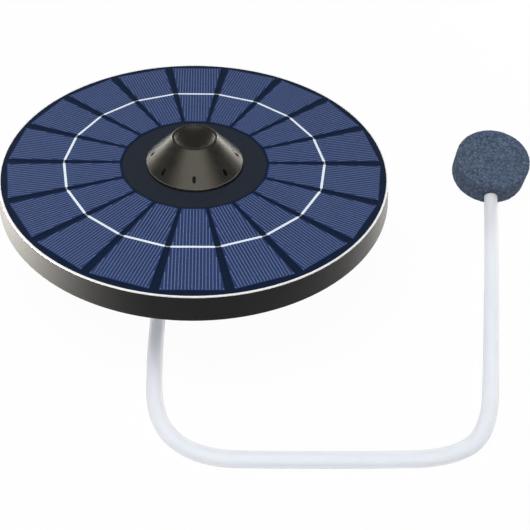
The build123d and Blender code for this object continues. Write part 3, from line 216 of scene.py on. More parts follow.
def out(node, socket=0):
    """An output of a node, the first one unless it is named."""
    return node.outputs[socket]


def maths(tree, operation, *values):
    """The result of one sum in a tree."""
    return out(put(tree, "ShaderNodeMath", dict(enumerate(values)), operation=operation))


def fade(tree, value, span, low=0.0, high=1.0):
    """Goes from low to high while a value crosses a span, and stays level outside it."""
    ends = {"From Min": span[0], "From Max": span[1], "To Min": low, "To Max": high}
    return out(put(tree, "ShaderNodeMapRange", {"Value": value, **ends}))


def blend(tree, share, first, second):
    """A colour between two, each written out or another node's output."""
    told = {"Factor": share, MIX_FIRST: first, MIX_SECOND: second}
    return out(put(tree, "ShaderNodeMix", told, data_type="RGBA"), MIX_RESULT)


# Finishes

# Where most of a noise's values lie, and how far a wave goes before it repeats at a scale of 1
NOISE_SPAN = (0.3, 0.7)
WAVE_REPEAT = pi / 10

# How far apart the swells of the motor's core and coils lie
CORE_SWELL = 9.87 * MM
COIL_SWELL = 4.486 * MM


def start_finish(name, colour, roughness, **sockets):
    """A material whose shader has its even values set. Patterns are added to it afterwards."""
    finish = bpy.data.materials.new(name)
    finish.use_nodes = True
    finish.diffuse_color = (*colour, 1)
    shader = finish.node_tree.nodes["Principled BSDF"]
    shader.inputs["Base Color"].default_value = (*colour, 1)
    shader.inputs["Roughness"].default_value = roughness
    for socket, value in sockets.items():
        shader.inputs[socket].default_value = value
    return finish


def shader_of(finish):
    """The shader of a material."""
    return finish.node_tree.nodes["Principled BSDF"]


def paint(finish, colour):
    """Gives a material the colour that a pattern makes."""
    finish.node_tree.links.new(colour, shader_of(finish).inputs["Base Color"])


def place_in(finish):
    """Where a point of the piece is, for a pattern that stays on the piece."""
    tree = finish.node_tree
    found = [node for node in tree.nodes if node.bl_idname == "ShaderNodeTexCoord"]
    here = found[0] if found else put(tree, "ShaderNodeTexCoord")
    return out(here, "Object")


def noise_in(finish, size, detail=2.0, stretch=(1, 1, 1)):
    """Noise from 0 to 1 whose patches are about a size across, longer where stretch is under 1."""
    tree = finish.node_tree
    drawn = put(tree, "ShaderNodeMapping", {"Vector": place_in(finish), "Scale": stretch})
    noise = put(tree, "ShaderNodeTexNoise", {"Vector": out(drawn), "Scale": 1 / size, "Detail": detail})
    return out(noise, "Fac")


def cells_in(finish, size, randomness=1.0, distance="EUCLIDEAN"):
    """Packed cells about a size across."""
    told = {"Vector": place_in(finish), "Scale": 1 / size, "Randomness": randomness}
    return put(finish.node_tree, "ShaderNodeTexVoronoi", told, distance=distance)


def swells_in(finish, repeat, distortion=0.0, detail=2.0):
    """Soft swells one above another, from 0 to 1 and back within each repeat."""
    told = {
        "Vector": place_in(finish),
        "Scale": WAVE_REPEAT / repeat,
        "Distortion": distortion,
        "Detail": detail,
    }
    return out(put(finish.node_tree, "ShaderNodeTexWave", told, bands_direction="Z"), "Fac")


def mottle(finish, size, light, detail=2.0, stretch=(1, 1, 1)):
    """Lets the colour wander in soft patches from the finish's own colour to a second one."""
    tree = finish.node_tree
    patches = fade(tree, noise_in(finish, size, detail, stretch), NOISE_SPAN)
    own = tuple(shader_of(finish).inputs["Base Color"].default_value)
    mottled = blend(tree, patches, own, (*light, 1))
    paint(finish, mottled)
    return mottled


def rub(finish, size, low, high, detail=3.0, stretch=(1, 1, 1)):
    """Lets the roughness wander, as handling and moulding leave it."""
    tree = finish.node_tree
    spread = fade(tree, noise_in(finish, size, detail, stretch), NOISE_SPAN, low, high)
    tree.links.new(spread, shader_of(finish).inputs["Roughness"])


def raise_grain(finish, height, depth):
    """Turns a height from 0 to 1 into relief of a depth in metres."""
    tree = finish.node_tree
    bump = put(tree, "ShaderNodeBump", {"Height": height, "Distance": depth, "Strength": 1.0})
    tree.links.new(out(bump), shader_of(finish).inputs["Normal"])


def moulded(name, colour, light, roughness, grain, depth, **sockets):
    """Moulded plastic: slightly uneven colour and gloss over a fine eroded texture."""
    finish = start_finish(name, colour, roughness, **sockets)
    mottle(finish, 9 * MM, light)
    rub(finish, 4 * MM, roughness - 0.04, roughness + 0.05)
    raise_grain(finish, noise_in(finish, grain, 3.0), depth)
    return finish


def turned_metal(name, colour, light, roughness, line, depth, stretch):
    """Drawn or rolled metal: fine lines one way and a gloss that changes along them."""
    finish = start_finish(name, colour, roughness, Metallic=1.0)
    mottle(finish, line * 6, light, 3.0, stretch)
    rub(finish, line * 3, roughness - 0.06, roughness + 0.08, 3.0, stretch)
    raise_grain(finish, noise_in(finish, line, 2.0, stretch), depth)
    return finish


def foamed(name, colour, light, cell, depth):
    """Foam: open or closed cells as small pits in a matt skin."""
    finish = start_finish(name, colour, 0.92, **{"Specular IOR Level": 0.15, "Sheen Weight": 0.25})
    mottle(finish, 3 * MM, light)
    pits = cells_in(finish, cell)
    raise_grain(finish, out(pits, "Distance"), depth)
    return finish


def rubbery(name, colour, light, roughness=0.62):
    """Rubber: nearly matt, with a dusty bloom and very fine grain."""
    finish = start_finish(name, colour, roughness, **{"Specular IOR Level": 0.35})
    mottle(finish, 5 * MM, light, 4.0)
    rub(finish, 3 * MM, roughness - 0.06, roughness + 0.08)
    raise_grain(finish, noise_in(finish, 0.35 * MM, 2.0), 0.012 * MM)
    return finish


finishes = {}

# Moulded plastics: colour, its lighter patches, roughness, then the grain's size and depth in mm
MOULDED = {
    "barb_plastic": ((0.028, 0.028, 0.03), (0.036, 0.036, 0.038), 0.34, 0.25, 0.004),
    "button_plastic": ((0.05, 0.05, 0.055), (0.066, 0.066, 0.07), 0.36, 0.25, 0.005),
    "nipple_white": ((0.86, 0.87, 0.88), (0.9, 0.91, 0.92), 0.4, 0.3, 0.004),
    "pump_acetal": ((0.6, 0.59, 0.55), (0.67, 0.66, 0.62), 0.38, 0.3, 0.004),
    "cap_nylon": ((0.58, 0.58, 0.54), (0.65, 0.64, 0.6), 0.48, 0.3, 0.006),
    "chip_black": ((0.025, 0.025, 0.026), (0.04, 0.04, 0.041), 0.55, 0.2, 0.008),
    "plunger_grey": ((0.19, 0.19, 0.19), (0.23, 0.23, 0.225), 0.4, 0.25, 0.004),
    "seal_white": ((0.88, 0.89, 0.89), (0.93, 0.935, 0.93), 0.42, 0.3, 0.004),
}
for finish_name, (colour, light, roughness, grain, depth) in MOULDED.items():
    finishes[finish_name] = moulded(finish_name, colour, light, roughness, grain * MM, depth * MM)

# The tray's black shows a dusty sheen where it is seen at a slant
finishes["tray_plastic"] = moulded(
    "tray_plastic",
    (0.0048, 0.0047, 0.0055),
    (0.0064, 0.0062, 0.007),
    0.5,
    0.3 * MM,
    0.001 * MM,
    **{
        "Specular IOR Level": 0.05,
        "Sheen Weight": 0.42,
        "Sheen Roughness": 0.47,
        "Sheen Tint": (1, 0.98, 0.95, 1),
    },
)
finishes["seal_rubber"] = rubbery("seal_rubber", (0.018, 0.018, 0.018), (0.028, 0.028, 0.027))
finishes["valve_rubber"] = rubbery("valve_rubber", (0.11, 0.028, 0.018), (0.15, 0.04, 0.026), 0.5)
finishes["float_foam"] = foamed(
    "float_foam", (0.026, 0.026, 0.028), (0.04, 0.04, 0.042), 0.55 * MM, 0.12 * MM
)
finishes["open_foam"] = foamed(
    "open_foam", (0.045, 0.045, 0.05), (0.065, 0.065, 0.07), 0.9 * MM, 0.35 * MM
)
finishes["plated_steel"] = turned_metal(
    "plated_steel", (0.52, 0.53, 0.54), (0.6, 0.6, 0.6), 0.3, 0.12 * MM, 0.003 * MM, (1, 1, 0.1)
)
finishes["bearing_bronze"] = turned_metal(
    "bearing_bronze", (0.5, 0.32, 0.12), (0.6, 0.4, 0.17), 0.42, 0.15 * MM, 0.008 * MM, (1, 1, 1)
)
finishes["cell_foil"] = turned_metal(
    "cell_foil", (0.58, 0.59, 0.61), (0.66, 0.67, 0.68), 0.34, 1.6 * MM, 0.05 * MM, (1, 0.6, 1)
)


def magnet_finish():
    """Sintered ferrite: matt, grainy and near black."""
    finish = start_finish("magnet_ferrite", (0.032, 0.032, 0.034), 0.72)
    mottle(finish, 0.5 * MM, (0.055, 0.055, 0.056), 4.0)
    raise_grain(finish, noise_in(finish, 0.2 * MM, 4.0), 0.02 * MM)
    return finish


finishes["magnet_ferrite"] = magnet_finish()


def lamination_finish():
    """Core steel: dark blotchy metal with a faint swell along its height."""
    finish = start_finish("core_steel", (0.14, 0.14, 0.15), 0.45, Metallic=1.0)
    mottle(finish, 1.5 * MM, (0.2, 0.2, 0.2))
    raise_grain(finish, swells_in(finish, CORE_SWELL), 0.04 * MM)
    return finish


finishes["core_steel"] = lamination_finish()


def winding_finish():
    """Enamelled copper: warm and glossy, with uneven swells along the winding's height."""
    finish = start_finish("coil_copper", (0.5, 0.17, 0.06), 0.28, Metallic=1.0, **{"Coat Weight": 0.6})
    mottle(finish, 1.2 * MM, (0.62, 0.25, 0.1))
    raise_grain(finish, swells_in(finish, COIL_SWELL, 1.5, 1.0), 0.05 * MM)
    return finish


finishes["coil_copper"] = winding_finish()


def board_finish():
    """Green lacquer over copper tracks that run square to each other."""
    finish = start_finish("board_green", (0.016, 0.1, 0.036), 0.3, **{"Coat Weight": 0.4})
    tree = finish.node_tree
    tracks = cells_in(finish, 1.8 * MM, 0.55, "CHEBYCHEV")
    raised = fade(tree, out(tracks, "Distance"), (0.3, 0.36))
    paint(finish, blend(tree, raised, (0.016, 0.1, 0.036, 1), (0.03, 0.17, 0.06, 1)))
    raise_grain(finish, raised, 0.02 * MM)
    return finish


finishes["board_green"] = board_finish()


def distance_out(finish):
    """How far a point of the piece is from the disc's axis."""
    tree = finish.node_tree
    flat = put(tree, "ShaderNodeVectorMath", {0: place_in(finish), 1: (1, 1, 0)}, operation="MULTIPLY")
    return out(put(tree, "ShaderNodeVectorMath", {0: out(flat)}, operation="LENGTH"), "Value")


def backing_finish():
    """The panel's dark board: slate at the hub, navy black between and round the cells."""
    finish = start_finish("panel_backing", (0.0105, 0.0155, 0.033), 0.34, **{"Specular IOR Level": 0.35})
    tree = finish.node_tree
    hub = fade(tree, distance_out(finish), (HUB_R - HUB_EDGE_OUT, HUB_R - HUB_EDGE_IN))
    wander = noise_in(finish, 2.2 * MM, 3.0)
    navy = blend(tree, wander, (0.0045, 0.0112, 0.031, 1), (0.007, 0.0158, 0.042, 1))
    slate = blend(tree, wander, (0.0158, 0.0208, 0.0305, 1), (0.0218, 0.0278, 0.0395, 1))
    paint(finish, blend(tree, hub, navy, slate))
    rub(finish, 3 * MM, 0.3, 0.4)
    raise_grain(finish, noise_in(finish, 0.4 * MM, 2.0), 0.004 * MM)
    return finish


finishes["panel_backing"] = backing_finish()


def silicon_finish():
    """Blue cell silicon: small crystals that take the coating a little differently."""
    finish = start_finish(
        "cell_blue", (0.03, 0.05, 0.14), 0.38, **{"Coat Weight": 0.15, "Coat Roughness": 0.25}
    )
    tree = finish.node_tree
    crystals = put(tree, "ShaderNodeSeparateColor", {"Color": out(cells_in(finish, 1.7 * MM), "Color")})
    crystal_share = maths(tree, "MULTIPLY", out(crystals), 0.45)
    drift_share = maths(tree, "MULTIPLY", noise_in(finish, 26 * MM, 1.0), 0.55)
    share = maths(tree, "ADD", crystal_share, drift_share)
    paint(finish, blend(tree, share, (0.0195, 0.0365, 0.112, 1), (0.029, 0.053, 0.155, 1)))
    rub(finish, 2 * MM, 0.32, 0.44)
    return finish


finishes["cell_blue"] = silicon_finish()


def finger_finish():
    """Printed silver paste, tinted by the panel's blue film."""
    finish = start_finish("finger_silver", (0.12, 0.165, 0.31), 0.45)
    mottle(finish, 1.4 * MM, (0.148, 0.198, 0.368), 3.0)
    rub(finish, 0.8 * MM, 0.38, 0.52)
    return finish


finishes["finger_silver"] = finger_finish()


def ribbon_finish():
    """Tinned ribbon that joins the cells, darker where it crosses the gaps between them."""
    finish = start_finish("ribbon_tin", (0.8, 0.89, 0.985), 0.42)
    tree = finish.node_tree
    tin = mottle(finish, 1.2 * MM, (0.86, 0.94, 0.99), 3.0)
    sides = put(tree, "ShaderNodeSeparateXYZ", {0: place_in(finish)})
    turn = maths(tree, "ARCTAN2", out(sides, "Y"), out(sides, "X"))
    cells_past = maths(tree, "MULTIPLY_ADD", turn, CELL_COUNT / (2 * pi), CELL_COUNT + 0.5)
    from_gap = maths(tree, "ABSOLUTE", maths(tree, "SUBTRACT", maths(tree, "FRACT", cells_past), 0.5))
    # The colour goes darker towards each gap between the cells
    on_cell = fade(tree, from_gap, (JOINT_CORE, JOINT_EDGE))
    paint(finish, blend(tree, on_cell, (0.34, 0.385, 0.43, 1), tin))
    rub(finish, 0.7 * MM, 0.36, 0.5)
    raise_grain(finish, noise_in(finish, 0.4 * MM, 2.0), 0.01 * MM)
    return finish


finishes["ribbon_tin"] = ribbon_finish()


def cone_finish():
    """Gunmetal paint on the cone: metal flakes under a satin top coat."""
    coat = {"Coat Weight": 0.1, "Coat Roughness": 0.3}
    finish = start_finish("cone_plastic", (0.29, 0.267, 0.226), 0.29, Metallic=1.0, **coat)
    mottle(finish, 0.35 * MM, (0.34, 0.314, 0.267), 3.0)
    rub(finish, 2.5 * MM, 0.26, 0.34)
    raise_grain(finish, noise_in(finish, 0.22 * MM, 2.0), 0.002 * MM)
    return finish


finishes["cone_plastic"] = cone_finish()


def silicone_finish():
    """Milky silicone tube: light passes through the wall and scatters, and less of it near the stone."""
    finish = start_finish(
        "hose_silicone",
        (0.882, 0.895, 0.924),
        0.25,
        **{
            "Transmission Weight": HOSE_CLEAR,
            "IOR": 1.03,
            "Subsurface Weight": 0.3,
            "Subsurface Scale": 2 * MM,
        },
    )
    shader_of(finish).inputs["Subsurface Radius"].default_value = (1.0, 1.0, 1.0)
    tree = finish.node_tree
    sides = put(tree, "ShaderNodeSeparateXYZ", {0: place_in(finish)})
    clouding = (HOSE_CLOUDS_FROM_Y, HOSE_CLOUDS_TO_Y)
    clarity = fade(tree, out(sides, "Y"), clouding, HOSE_CLEAR, HOSE_CLEAR_AT_STONE)
    tree.links.new(clarity, shader_of(finish).inputs["Transmission Weight"])
    mottle(finish, 6 * MM, (0.872, 0.886, 0.917))
    rub(finish, 5 * MM, 0.3, 0.4)
    raise_grain(finish, noise_in(finish, 1.6 * MM, 2.0), 0.003 * MM)
    return finish


finishes["hose_silicone"] = silicone_finish()


def grit_finish():
    """Sintered blue-grey grains, each its own tone, with painted shade darkening the pores between."""
    finish = start_finish("stone_grit", (0.07, 0.1, 0.16), 0.88, **{"Specular IOR Level": 0.25})
    tree = finish.node_tree
    grains = cells_in(finish, 0.75 * MM)
    shade = put(tree, "ShaderNodeSeparateColor", {"Color": out(grains, "Color")})
    ramp = put(tree, "ShaderNodeValToRGB", {"Fac": out(shade)})
    points = ramp.color_ramp.elements
    points[0].position = 0.0
    points[0].color = (0.058, 0.083, 0.132, 1)
    points[1].position = 1.0
    points[1].color = (0.145, 0.19, 0.272, 1)
    middle = points.new(0.55)
    middle.color = (0.09, 0.125, 0.192, 1)
    # Painted shade: the colour is darkened towards each grain's edge, in the pores between the grains
    pores = fade(tree, out(grains, "Distance"), (0.5, 0.8), 1.0, 0.6)
    shaded = put(tree, "ShaderNodeVectorMath", {0: out(ramp), "Scale": pores}, operation="SCALE")
    paint(finish, out(shaded))
    raise_grain(finish, noise_in(finish, 0.25 * MM, 3.0), 0.06 * MM)
    return finish


finishes["stone_grit"] = grit_finish()

# Which finish each piece of the frame is given
DRESSED = {
    "tray_plastic": ("float_tray", "pump_housing", "bottom_cover"),
    "cone_plastic": ("cone_cap",),
    "panel_backing": ("panel_board",),
    "cell_blue": ("solar_cells",),
    "ribbon_tin": ("cell_ribbon",),
    "seal_white": ("panel_seal",),
    "seal_rubber": (
        "housing_seal",
        "cover_seal",
        "rubber_feet",
        "barb_seal",
        "button_seal",
        "motor_cushion",
        "pump_pad",
    ),
    "nipple_white": ("stone_nipple",),
    "barb_plastic": ("outlet_barb", "barb_nut"),
    "button_plastic": ("power_button",),
    "hose_silicone": ("inner_hose",),
    "pump_acetal": (
        "pump_head",
        "valve_plate",
        "cylinder_plate",
        "pump_frame",
        "wobble_plate",
        "crank",
    ),
    "valve_rubber": ("diaphragm", "inlet_valves", "outlet_valve"),
    "plated_steel": (
        "housing_screws",
        "cover_screws",
        "pump_screws",
        "motor_screws",
        "motor_shaft",
        "crank_pin",
        "pivot_ball",
        "motor_can",
    ),
    "core_steel": ("armature",),
    "coil_copper": ("armature_coils", "commutator"),
    "bearing_bronze": ("motor_bushes", "motor_brushes"),
    "magnet_ferrite": ("motor_magnets",),
    "cap_nylon": ("motor_end_cap",),
    "cell_foil": ("battery_cell",),
    "board_green": ("circuit_board",),
    "chip_black": ("circuit_parts", "switch_body"),
    "plunger_grey": ("switch_plunger",),
}
for finish_name, nodes in DRESSED.items():
    for node_name in nodes:
        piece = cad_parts[node_name]
        if not piece.material_slots:
            piece.data.materials.append(None)
        for place in piece.material_slots:
            place.material = finishes[finish_name]


# Making pieces

# Edges that turn by less are shaded smooth
SHARP_ANGLE = radians(40)
BLOCK_CUTS = 3
SOFT_EDGE_STEPS = 3


def add_piece(name, mesh, finish=None):
    """Puts a mesh in the scene as a piece, with its finish."""
    piece = bpy.data.objects.new(name, mesh)
    scene.collection.objects.link(piece)
    if finish:
        mesh.materials.append(finish)
    return piece


def smooth(piece):
    """Shades a mesh smooth, but for its sharp edges."""
    mesh = piece.data
    for face in mesh.polygons:
        face.use_smooth = True
    mesh.set_sharp_from_angle(angle=SHARP_ANGLE)


def lathe(name, outline, steps, finish):
    """Turns a closed outline of (radius, height) points round the disc's axis."""
    mesh = bpy.data.meshes.new(name)
    drawn = bmesh.new()
    rings = []
    for step in range(steps):
        turn = 2 * pi * step / steps
        rings.append([drawn.verts.new((r * cos(turn), r * sin(turn), z)) for r, z in outline])
    for here, after in zip(rings, rings[1:] + rings[:1]):
        for i in range(len(outline)):
            j = (i + 1) % len(outline)
            drawn.faces.new((here[i], here[j], after[j], after[i]))
    bmesh.ops.remove_doubles(drawn, verts=drawn.verts, dist=0.001 * MM)
    bmesh.ops.recalc_face_normals(drawn, faces=drawn.faces)
    drawn.to_mesh(mesh)
    drawn.free()
    return add_piece(name, mesh, finish)


def block(name, size, middle, finish):
    """A brick of a size round its middle, cut into a grid so that its finish and edges have points."""
    mesh = bpy.data.meshes.new(name)
    drawn = bmesh.new()
    bmesh.ops.create_cube(drawn, size=1.0)
    bmesh.ops.scale(drawn, vec=size, verts=drawn.verts)
    bmesh.ops.subdivide_edges(drawn, edges=drawn.edges, cuts=BLOCK_CUTS, use_grid_fill=True)
    bmesh.ops.translate(drawn, vec=middle, verts=drawn.verts)
    drawn.to_mesh(mesh)
    drawn.free()
    return add_piece(name, mesh, finish)


def soften(piece, radius):
    """Rounds a piece's sharp edges, as cut foam has them."""
    edge = piece.modifiers.new("edge", "BEVEL")
    edge.width = radius
    edge.segments = SOFT_EDGE_STEPS
    edge.limit_method = "ANGLE"
    smooth(piece)


def rounded(centre, radius, start, end, steps):
    """Points of an arc between two angles in degrees, for an outline's corner."""
    points = []
    for step in range(steps + 1):
        turn = radians(start + (end - start) * step / steps)
        points.append((centre[0] + radius * cos(turn), centre[1] + radius * sin(turn)))
    return points


# Geometry trees


def start_tree(name, inputs):
    """A geometry tree that takes a mesh and named inputs. Returns it with its ends."""
    tree = bpy.data.node_groups.new(name, "GeometryNodeTree")
    tree.interface.new_socket("Geometry", in_out="OUTPUT", socket_type="NodeSocketGeometry")
    tree.interface.new_socket("Geometry", in_out="INPUT", socket_type="NodeSocketGeometry")
    for title, kind in inputs:
        tree.interface.new_socket(title, in_out="INPUT", socket_type=kind)
    return tree, put(tree, "NodeGroupInput"), put(tree, "NodeGroupOutput")


def end_tree(tree, ends, geometry, finish):
    """Makes instances real and gives them their finish."""
    real = put(tree, "GeometryNodeRealizeInstances", {"Geometry": geometry})
    painted = put(tree, "GeometryNodeSetMaterial", {"Geometry": out(real), "Material": finish})
    tree.links.new(out(painted), ends.inputs[0])


def grow(piece, tree, values):
    """Runs a tree on a piece with its inputs' values and keeps the mesh that comes out."""
    runs = piece.modifiers.new(tree.name, "NODES")
    runs.node_group = tree
    for item in tree.interface.items_tree:
        if item.item_type == "SOCKET" and item.in_out == "INPUT" and item.name in values:
            runs[item.identifier] = values[item.name]
    evaluated = piece.evaluated_get(bpy.context.evaluated_depsgraph_get())
    grown = bpy.data.meshes.new_from_object(evaluated)
    grown.name = piece.name
    piece.modifiers.remove(runs)
    spare = piece.data
    piece.data = grown
    bpy.data.meshes.remove(spare)


# Camera, which comes with the photograph's framing
camera_data = bpy.data.cameras.new("camera")
camera_data.lens = CAMERA_LENS
camera_data.sensor_width = CAMERA_SENSOR
camera_data.shift_x = PICTURE_SHIFT / PICTURE_WIDTH
camera_data.clip_start = CAMERA_NEAREST
camera = bpy.data.objects.new("camera", camera_data)
camera.location = CAMERA_AT
camera.rotation_euler = [radians(turn) for turn in CAMERA_TURN]
scene.collection.objects.link(camera)
scene.camera = camera

# Air hose
out_dir = Vector((cos(OUT_ANGLE), sin(OUT_ANGLE), 0))
hose_exit = out_dir * BARB_ROOT_R + Vector((0, 0, BARB_Z))
hose_off_barb = out_dir * BARB_TIP_R + Vector((0, 0, BARB_Z))
floor_run = [Vector(point) * MM for point in HOSE_FLOOR_ROUTE]
edge_z = (STONE_T / 2 - STONE_ROUND) * cos(STONE_TILT) + STONE_ROUND
stone_at = Vector((STONE_X, STONE_Y, edge_z + (STONE_R - STONE_ROUND) * sin(STONE_TILT)))
stone_way = Vector((STONE_X - floor_run[-1].x, STONE_Y - floor_run[-1].y, 0)).normalized()
stone_dir = stone_way * cos(STONE_TILT) + Vector((0, 0, sin(STONE_TILT)))
hose_end = stone_at - stone_dir * (STONE_R + STONE_SEAT)
hose_route = [hose_exit, hose_off_barb, *floor_run, hose_end]


def lay_hose(name, route):
    """A tube on a smooth line whose control points are the route's."""
    line = bpy.data.curves.new(name, "CURVE")
    line.dimensions = "3D"
    line.resolution_u = HOSE_STEPS_ALONG
    line.bevel_depth = HOSE_R
    line.bevel_resolution = HOSE_STEPS_ROUND
    strand = line.splines.new("NURBS")
    strand.points.add(len(route) - 1)
    for point, place in zip(strand.points, route):
        point.co = (*place, 1)
    strand.order_u = 3
    strand.use_endpoint_u = True
    strand.use_smooth = True
    hose = bpy.data.objects.new(name, line)
    scene.collection.objects.link(hose)
    line.materials.append(finishes["hose_silicone"])
    wall = hose.modifiers.new("wall", "SOLIDIFY")
    wall.thickness = HOSE_WALL
    wall.offset = -1
    return hose


hose = lay_hose("hose_tube", hose_route)
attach(hose, "hull")
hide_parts("air_hose")

# Silver fingers on the cells


def finger_tree():
    """Lays a comb of fingers on one cell, as long as the cell is there, and turns it round the panel."""
    tree, given, ends = start_tree(
        "cell_fingers",
        [
            ("Cells", "NodeSocketInt"),
            ("Fingers", "NodeSocketInt"),
            ("Pitch", "NodeSocketFloat"),
            ("Width", "NodeSocketFloat"),
            ("Thickness", "NodeSocketFloat"),
            ("Clearance", "NodeSocketFloat"),
            ("Inner Radius", "NodeSocketFloat"),
            ("Outer Radius", "NodeSocketFloat"),
            ("Inner Half Width", "NodeSocketFloat"),
            ("Outer Half Width", "NodeSocketFloat"),
            ("Height", "NodeSocketFloat"),
            ("Silver", "NodeSocketMaterial"),
        ],
    )

    def value(title):
        return out(given, title)

    place = out(put(tree, "GeometryNodeInputIndex"))
    middle = maths(tree, "MULTIPLY", maths(tree, "SUBTRACT", value("Fingers"), 1.0), 0.5)
    aside = maths(tree, "MULTIPLY", maths(tree, "SUBTRACT", place, middle), value("Pitch"))
    run = maths(tree, "SUBTRACT", value("Outer Radius"), value("Inner Radius"))
    widening = maths(tree, "SUBTRACT", value("Outer Half Width"), value("Inner Half Width"))
    reach = maths(tree, "ADD", maths(tree, "ABSOLUTE", aside), value("Clearance"))
    beyond = maths(tree, "MAXIMUM", maths(tree, "SUBTRACT", reach, value("Inner Half Width")), 0.0)
    late = maths(tree, "DIVIDE", maths(tree, "MULTIPLY", beyond, run), widening)
    start = maths(tree, "ADD", maths(tree, "ADD", value("Inner Radius"), late), value("Clearance"))
    end = maths(tree, "SUBTRACT", value("Outer Radius"), value("Clearance"))
    length = maths(tree, "MAXIMUM", maths(tree, "SUBTRACT", end, start), 0.0)
    halfway = maths(tree, "MULTIPLY", maths(tree, "ADD", start, end), 0.5)
    spot = put(tree, "ShaderNodeCombineXYZ", {0: halfway, 1: aside, 2: value("Height")})
    row = put(tree, "GeometryNodePoints", {"Count": value("Fingers"), "Position": out(spot)})
    bar = put(tree, "GeometryNodeMeshCube", {"Size": (1, 1, 1)})
    size = put(tree, "ShaderNodeCombineXYZ", {0: length, 1: value("Width"), 2: value("Thickness")})
    comb = put(
        tree,
        "GeometryNodeInstanceOnPoints",
        {"Points": out(row), "Instance": out(bar), "Scale": out(size)},
    )
    whole_comb = put(tree, "GeometryNodeRealizeInstances", {"Geometry": out(comb)})
    hubs = put(tree, "GeometryNodePoints", {"Count": value("Cells")})
    step = maths(tree, "DIVIDE", 2 * pi, value("Cells"))
    turn = maths(tree, "ADD", maths(tree, "MULTIPLY", place, step), pi / 2)
    facing = put(tree, "ShaderNodeCombineXYZ", {2: turn})
    combs = put(
        tree,
        "GeometryNodeInstanceOnPoints",
        {"Points": out(hubs), "Instance": out(whole_comb), "Rotation": out(facing)},
    )
    end_tree(tree, ends, out(combs), value("Silver"))
    return tree


fingers = add_piece("cell_fingers", bpy.data.meshes.new("cell_fingers"))
grow(
    fingers,
    finger_tree(),
    {
        "Cells": CELL_COUNT,
        "Fingers": FINGERS_PER_CELL,
        "Pitch": FINGER_PITCH,
        "Width": FINGER_W,
        "Thickness": FINGER_T,
        "Clearance": FINGER_CLEAR,
        "Inner Radius": HUB_R,
        "Outer Radius": CELLS_R,
        "Inner Half Width": CELL_INNER_HALF,
        "Outer Half Width": CELL_OUTER_HALF,
        "Height": PANEL_TOP + CELL_T + FINGER_T / 2,
        "Silver": finishes["finger_silver"],
    },
)
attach(fingers, "hull")

# Float ring
float_corner = (FLOAT_OUT_R - FLOAT_ROUND, FLOAT_LOW + FLOAT_ROUND)
float_outline = [
    (FLOAT_STEP_R, FLOAT_TOP),
    (FLOAT_STEP_R, FLOAT_STEP),
    (FLOAT_IN_R, FLOAT_STEP),
    (FLOAT_IN_R, FLOAT_LOW),
    *rounded(float_corner, FLOAT_ROUND, -90, 0, FLOAT_CORNER_STEPS),
    (FLOAT_OUT_R, FLOAT_TOP),
]
float_ring = lathe("float_ring", float_outline, FLOAT_STEPS, finishes["float_foam"])
smooth(float_ring)
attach(float_ring, "hull")
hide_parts("foam_float")

# Foam in the tray: the filter behind the cone's slots and the two pads under the cell
filter_outline = [
    (FILTER_IN_R, FILTER_LOW),
    (FILTER_OUT_R, FILTER_LOW),
    (FILTER_OUT_R, FILTER_BEND),
    (FILTER_TOP_R, FILTER_TOP),
    (FILTER_IN_R, FILTER_TOP),
]
filter_ring = lathe("filter_ring", filter_outline, FILTER_STEPS, finishes["open_foam"])
soften(filter_ring, FILTER_SOFT)
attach(filter_ring, "hull")
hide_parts("intake_filter")

for side, sign in (("left", -1), ("right", 1)):
    pad_at = (PAD_X, sign * PAD_Y, PAD_Z)
    pad = block(f"cell_pad_{side}", (PAD_L, PAD_W, PAD_T), pad_at, finishes["open_foam"])
    soften(pad, PAD_SOFT)
    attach(pad, "hull")
    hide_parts("battery_pads")

# Air stone


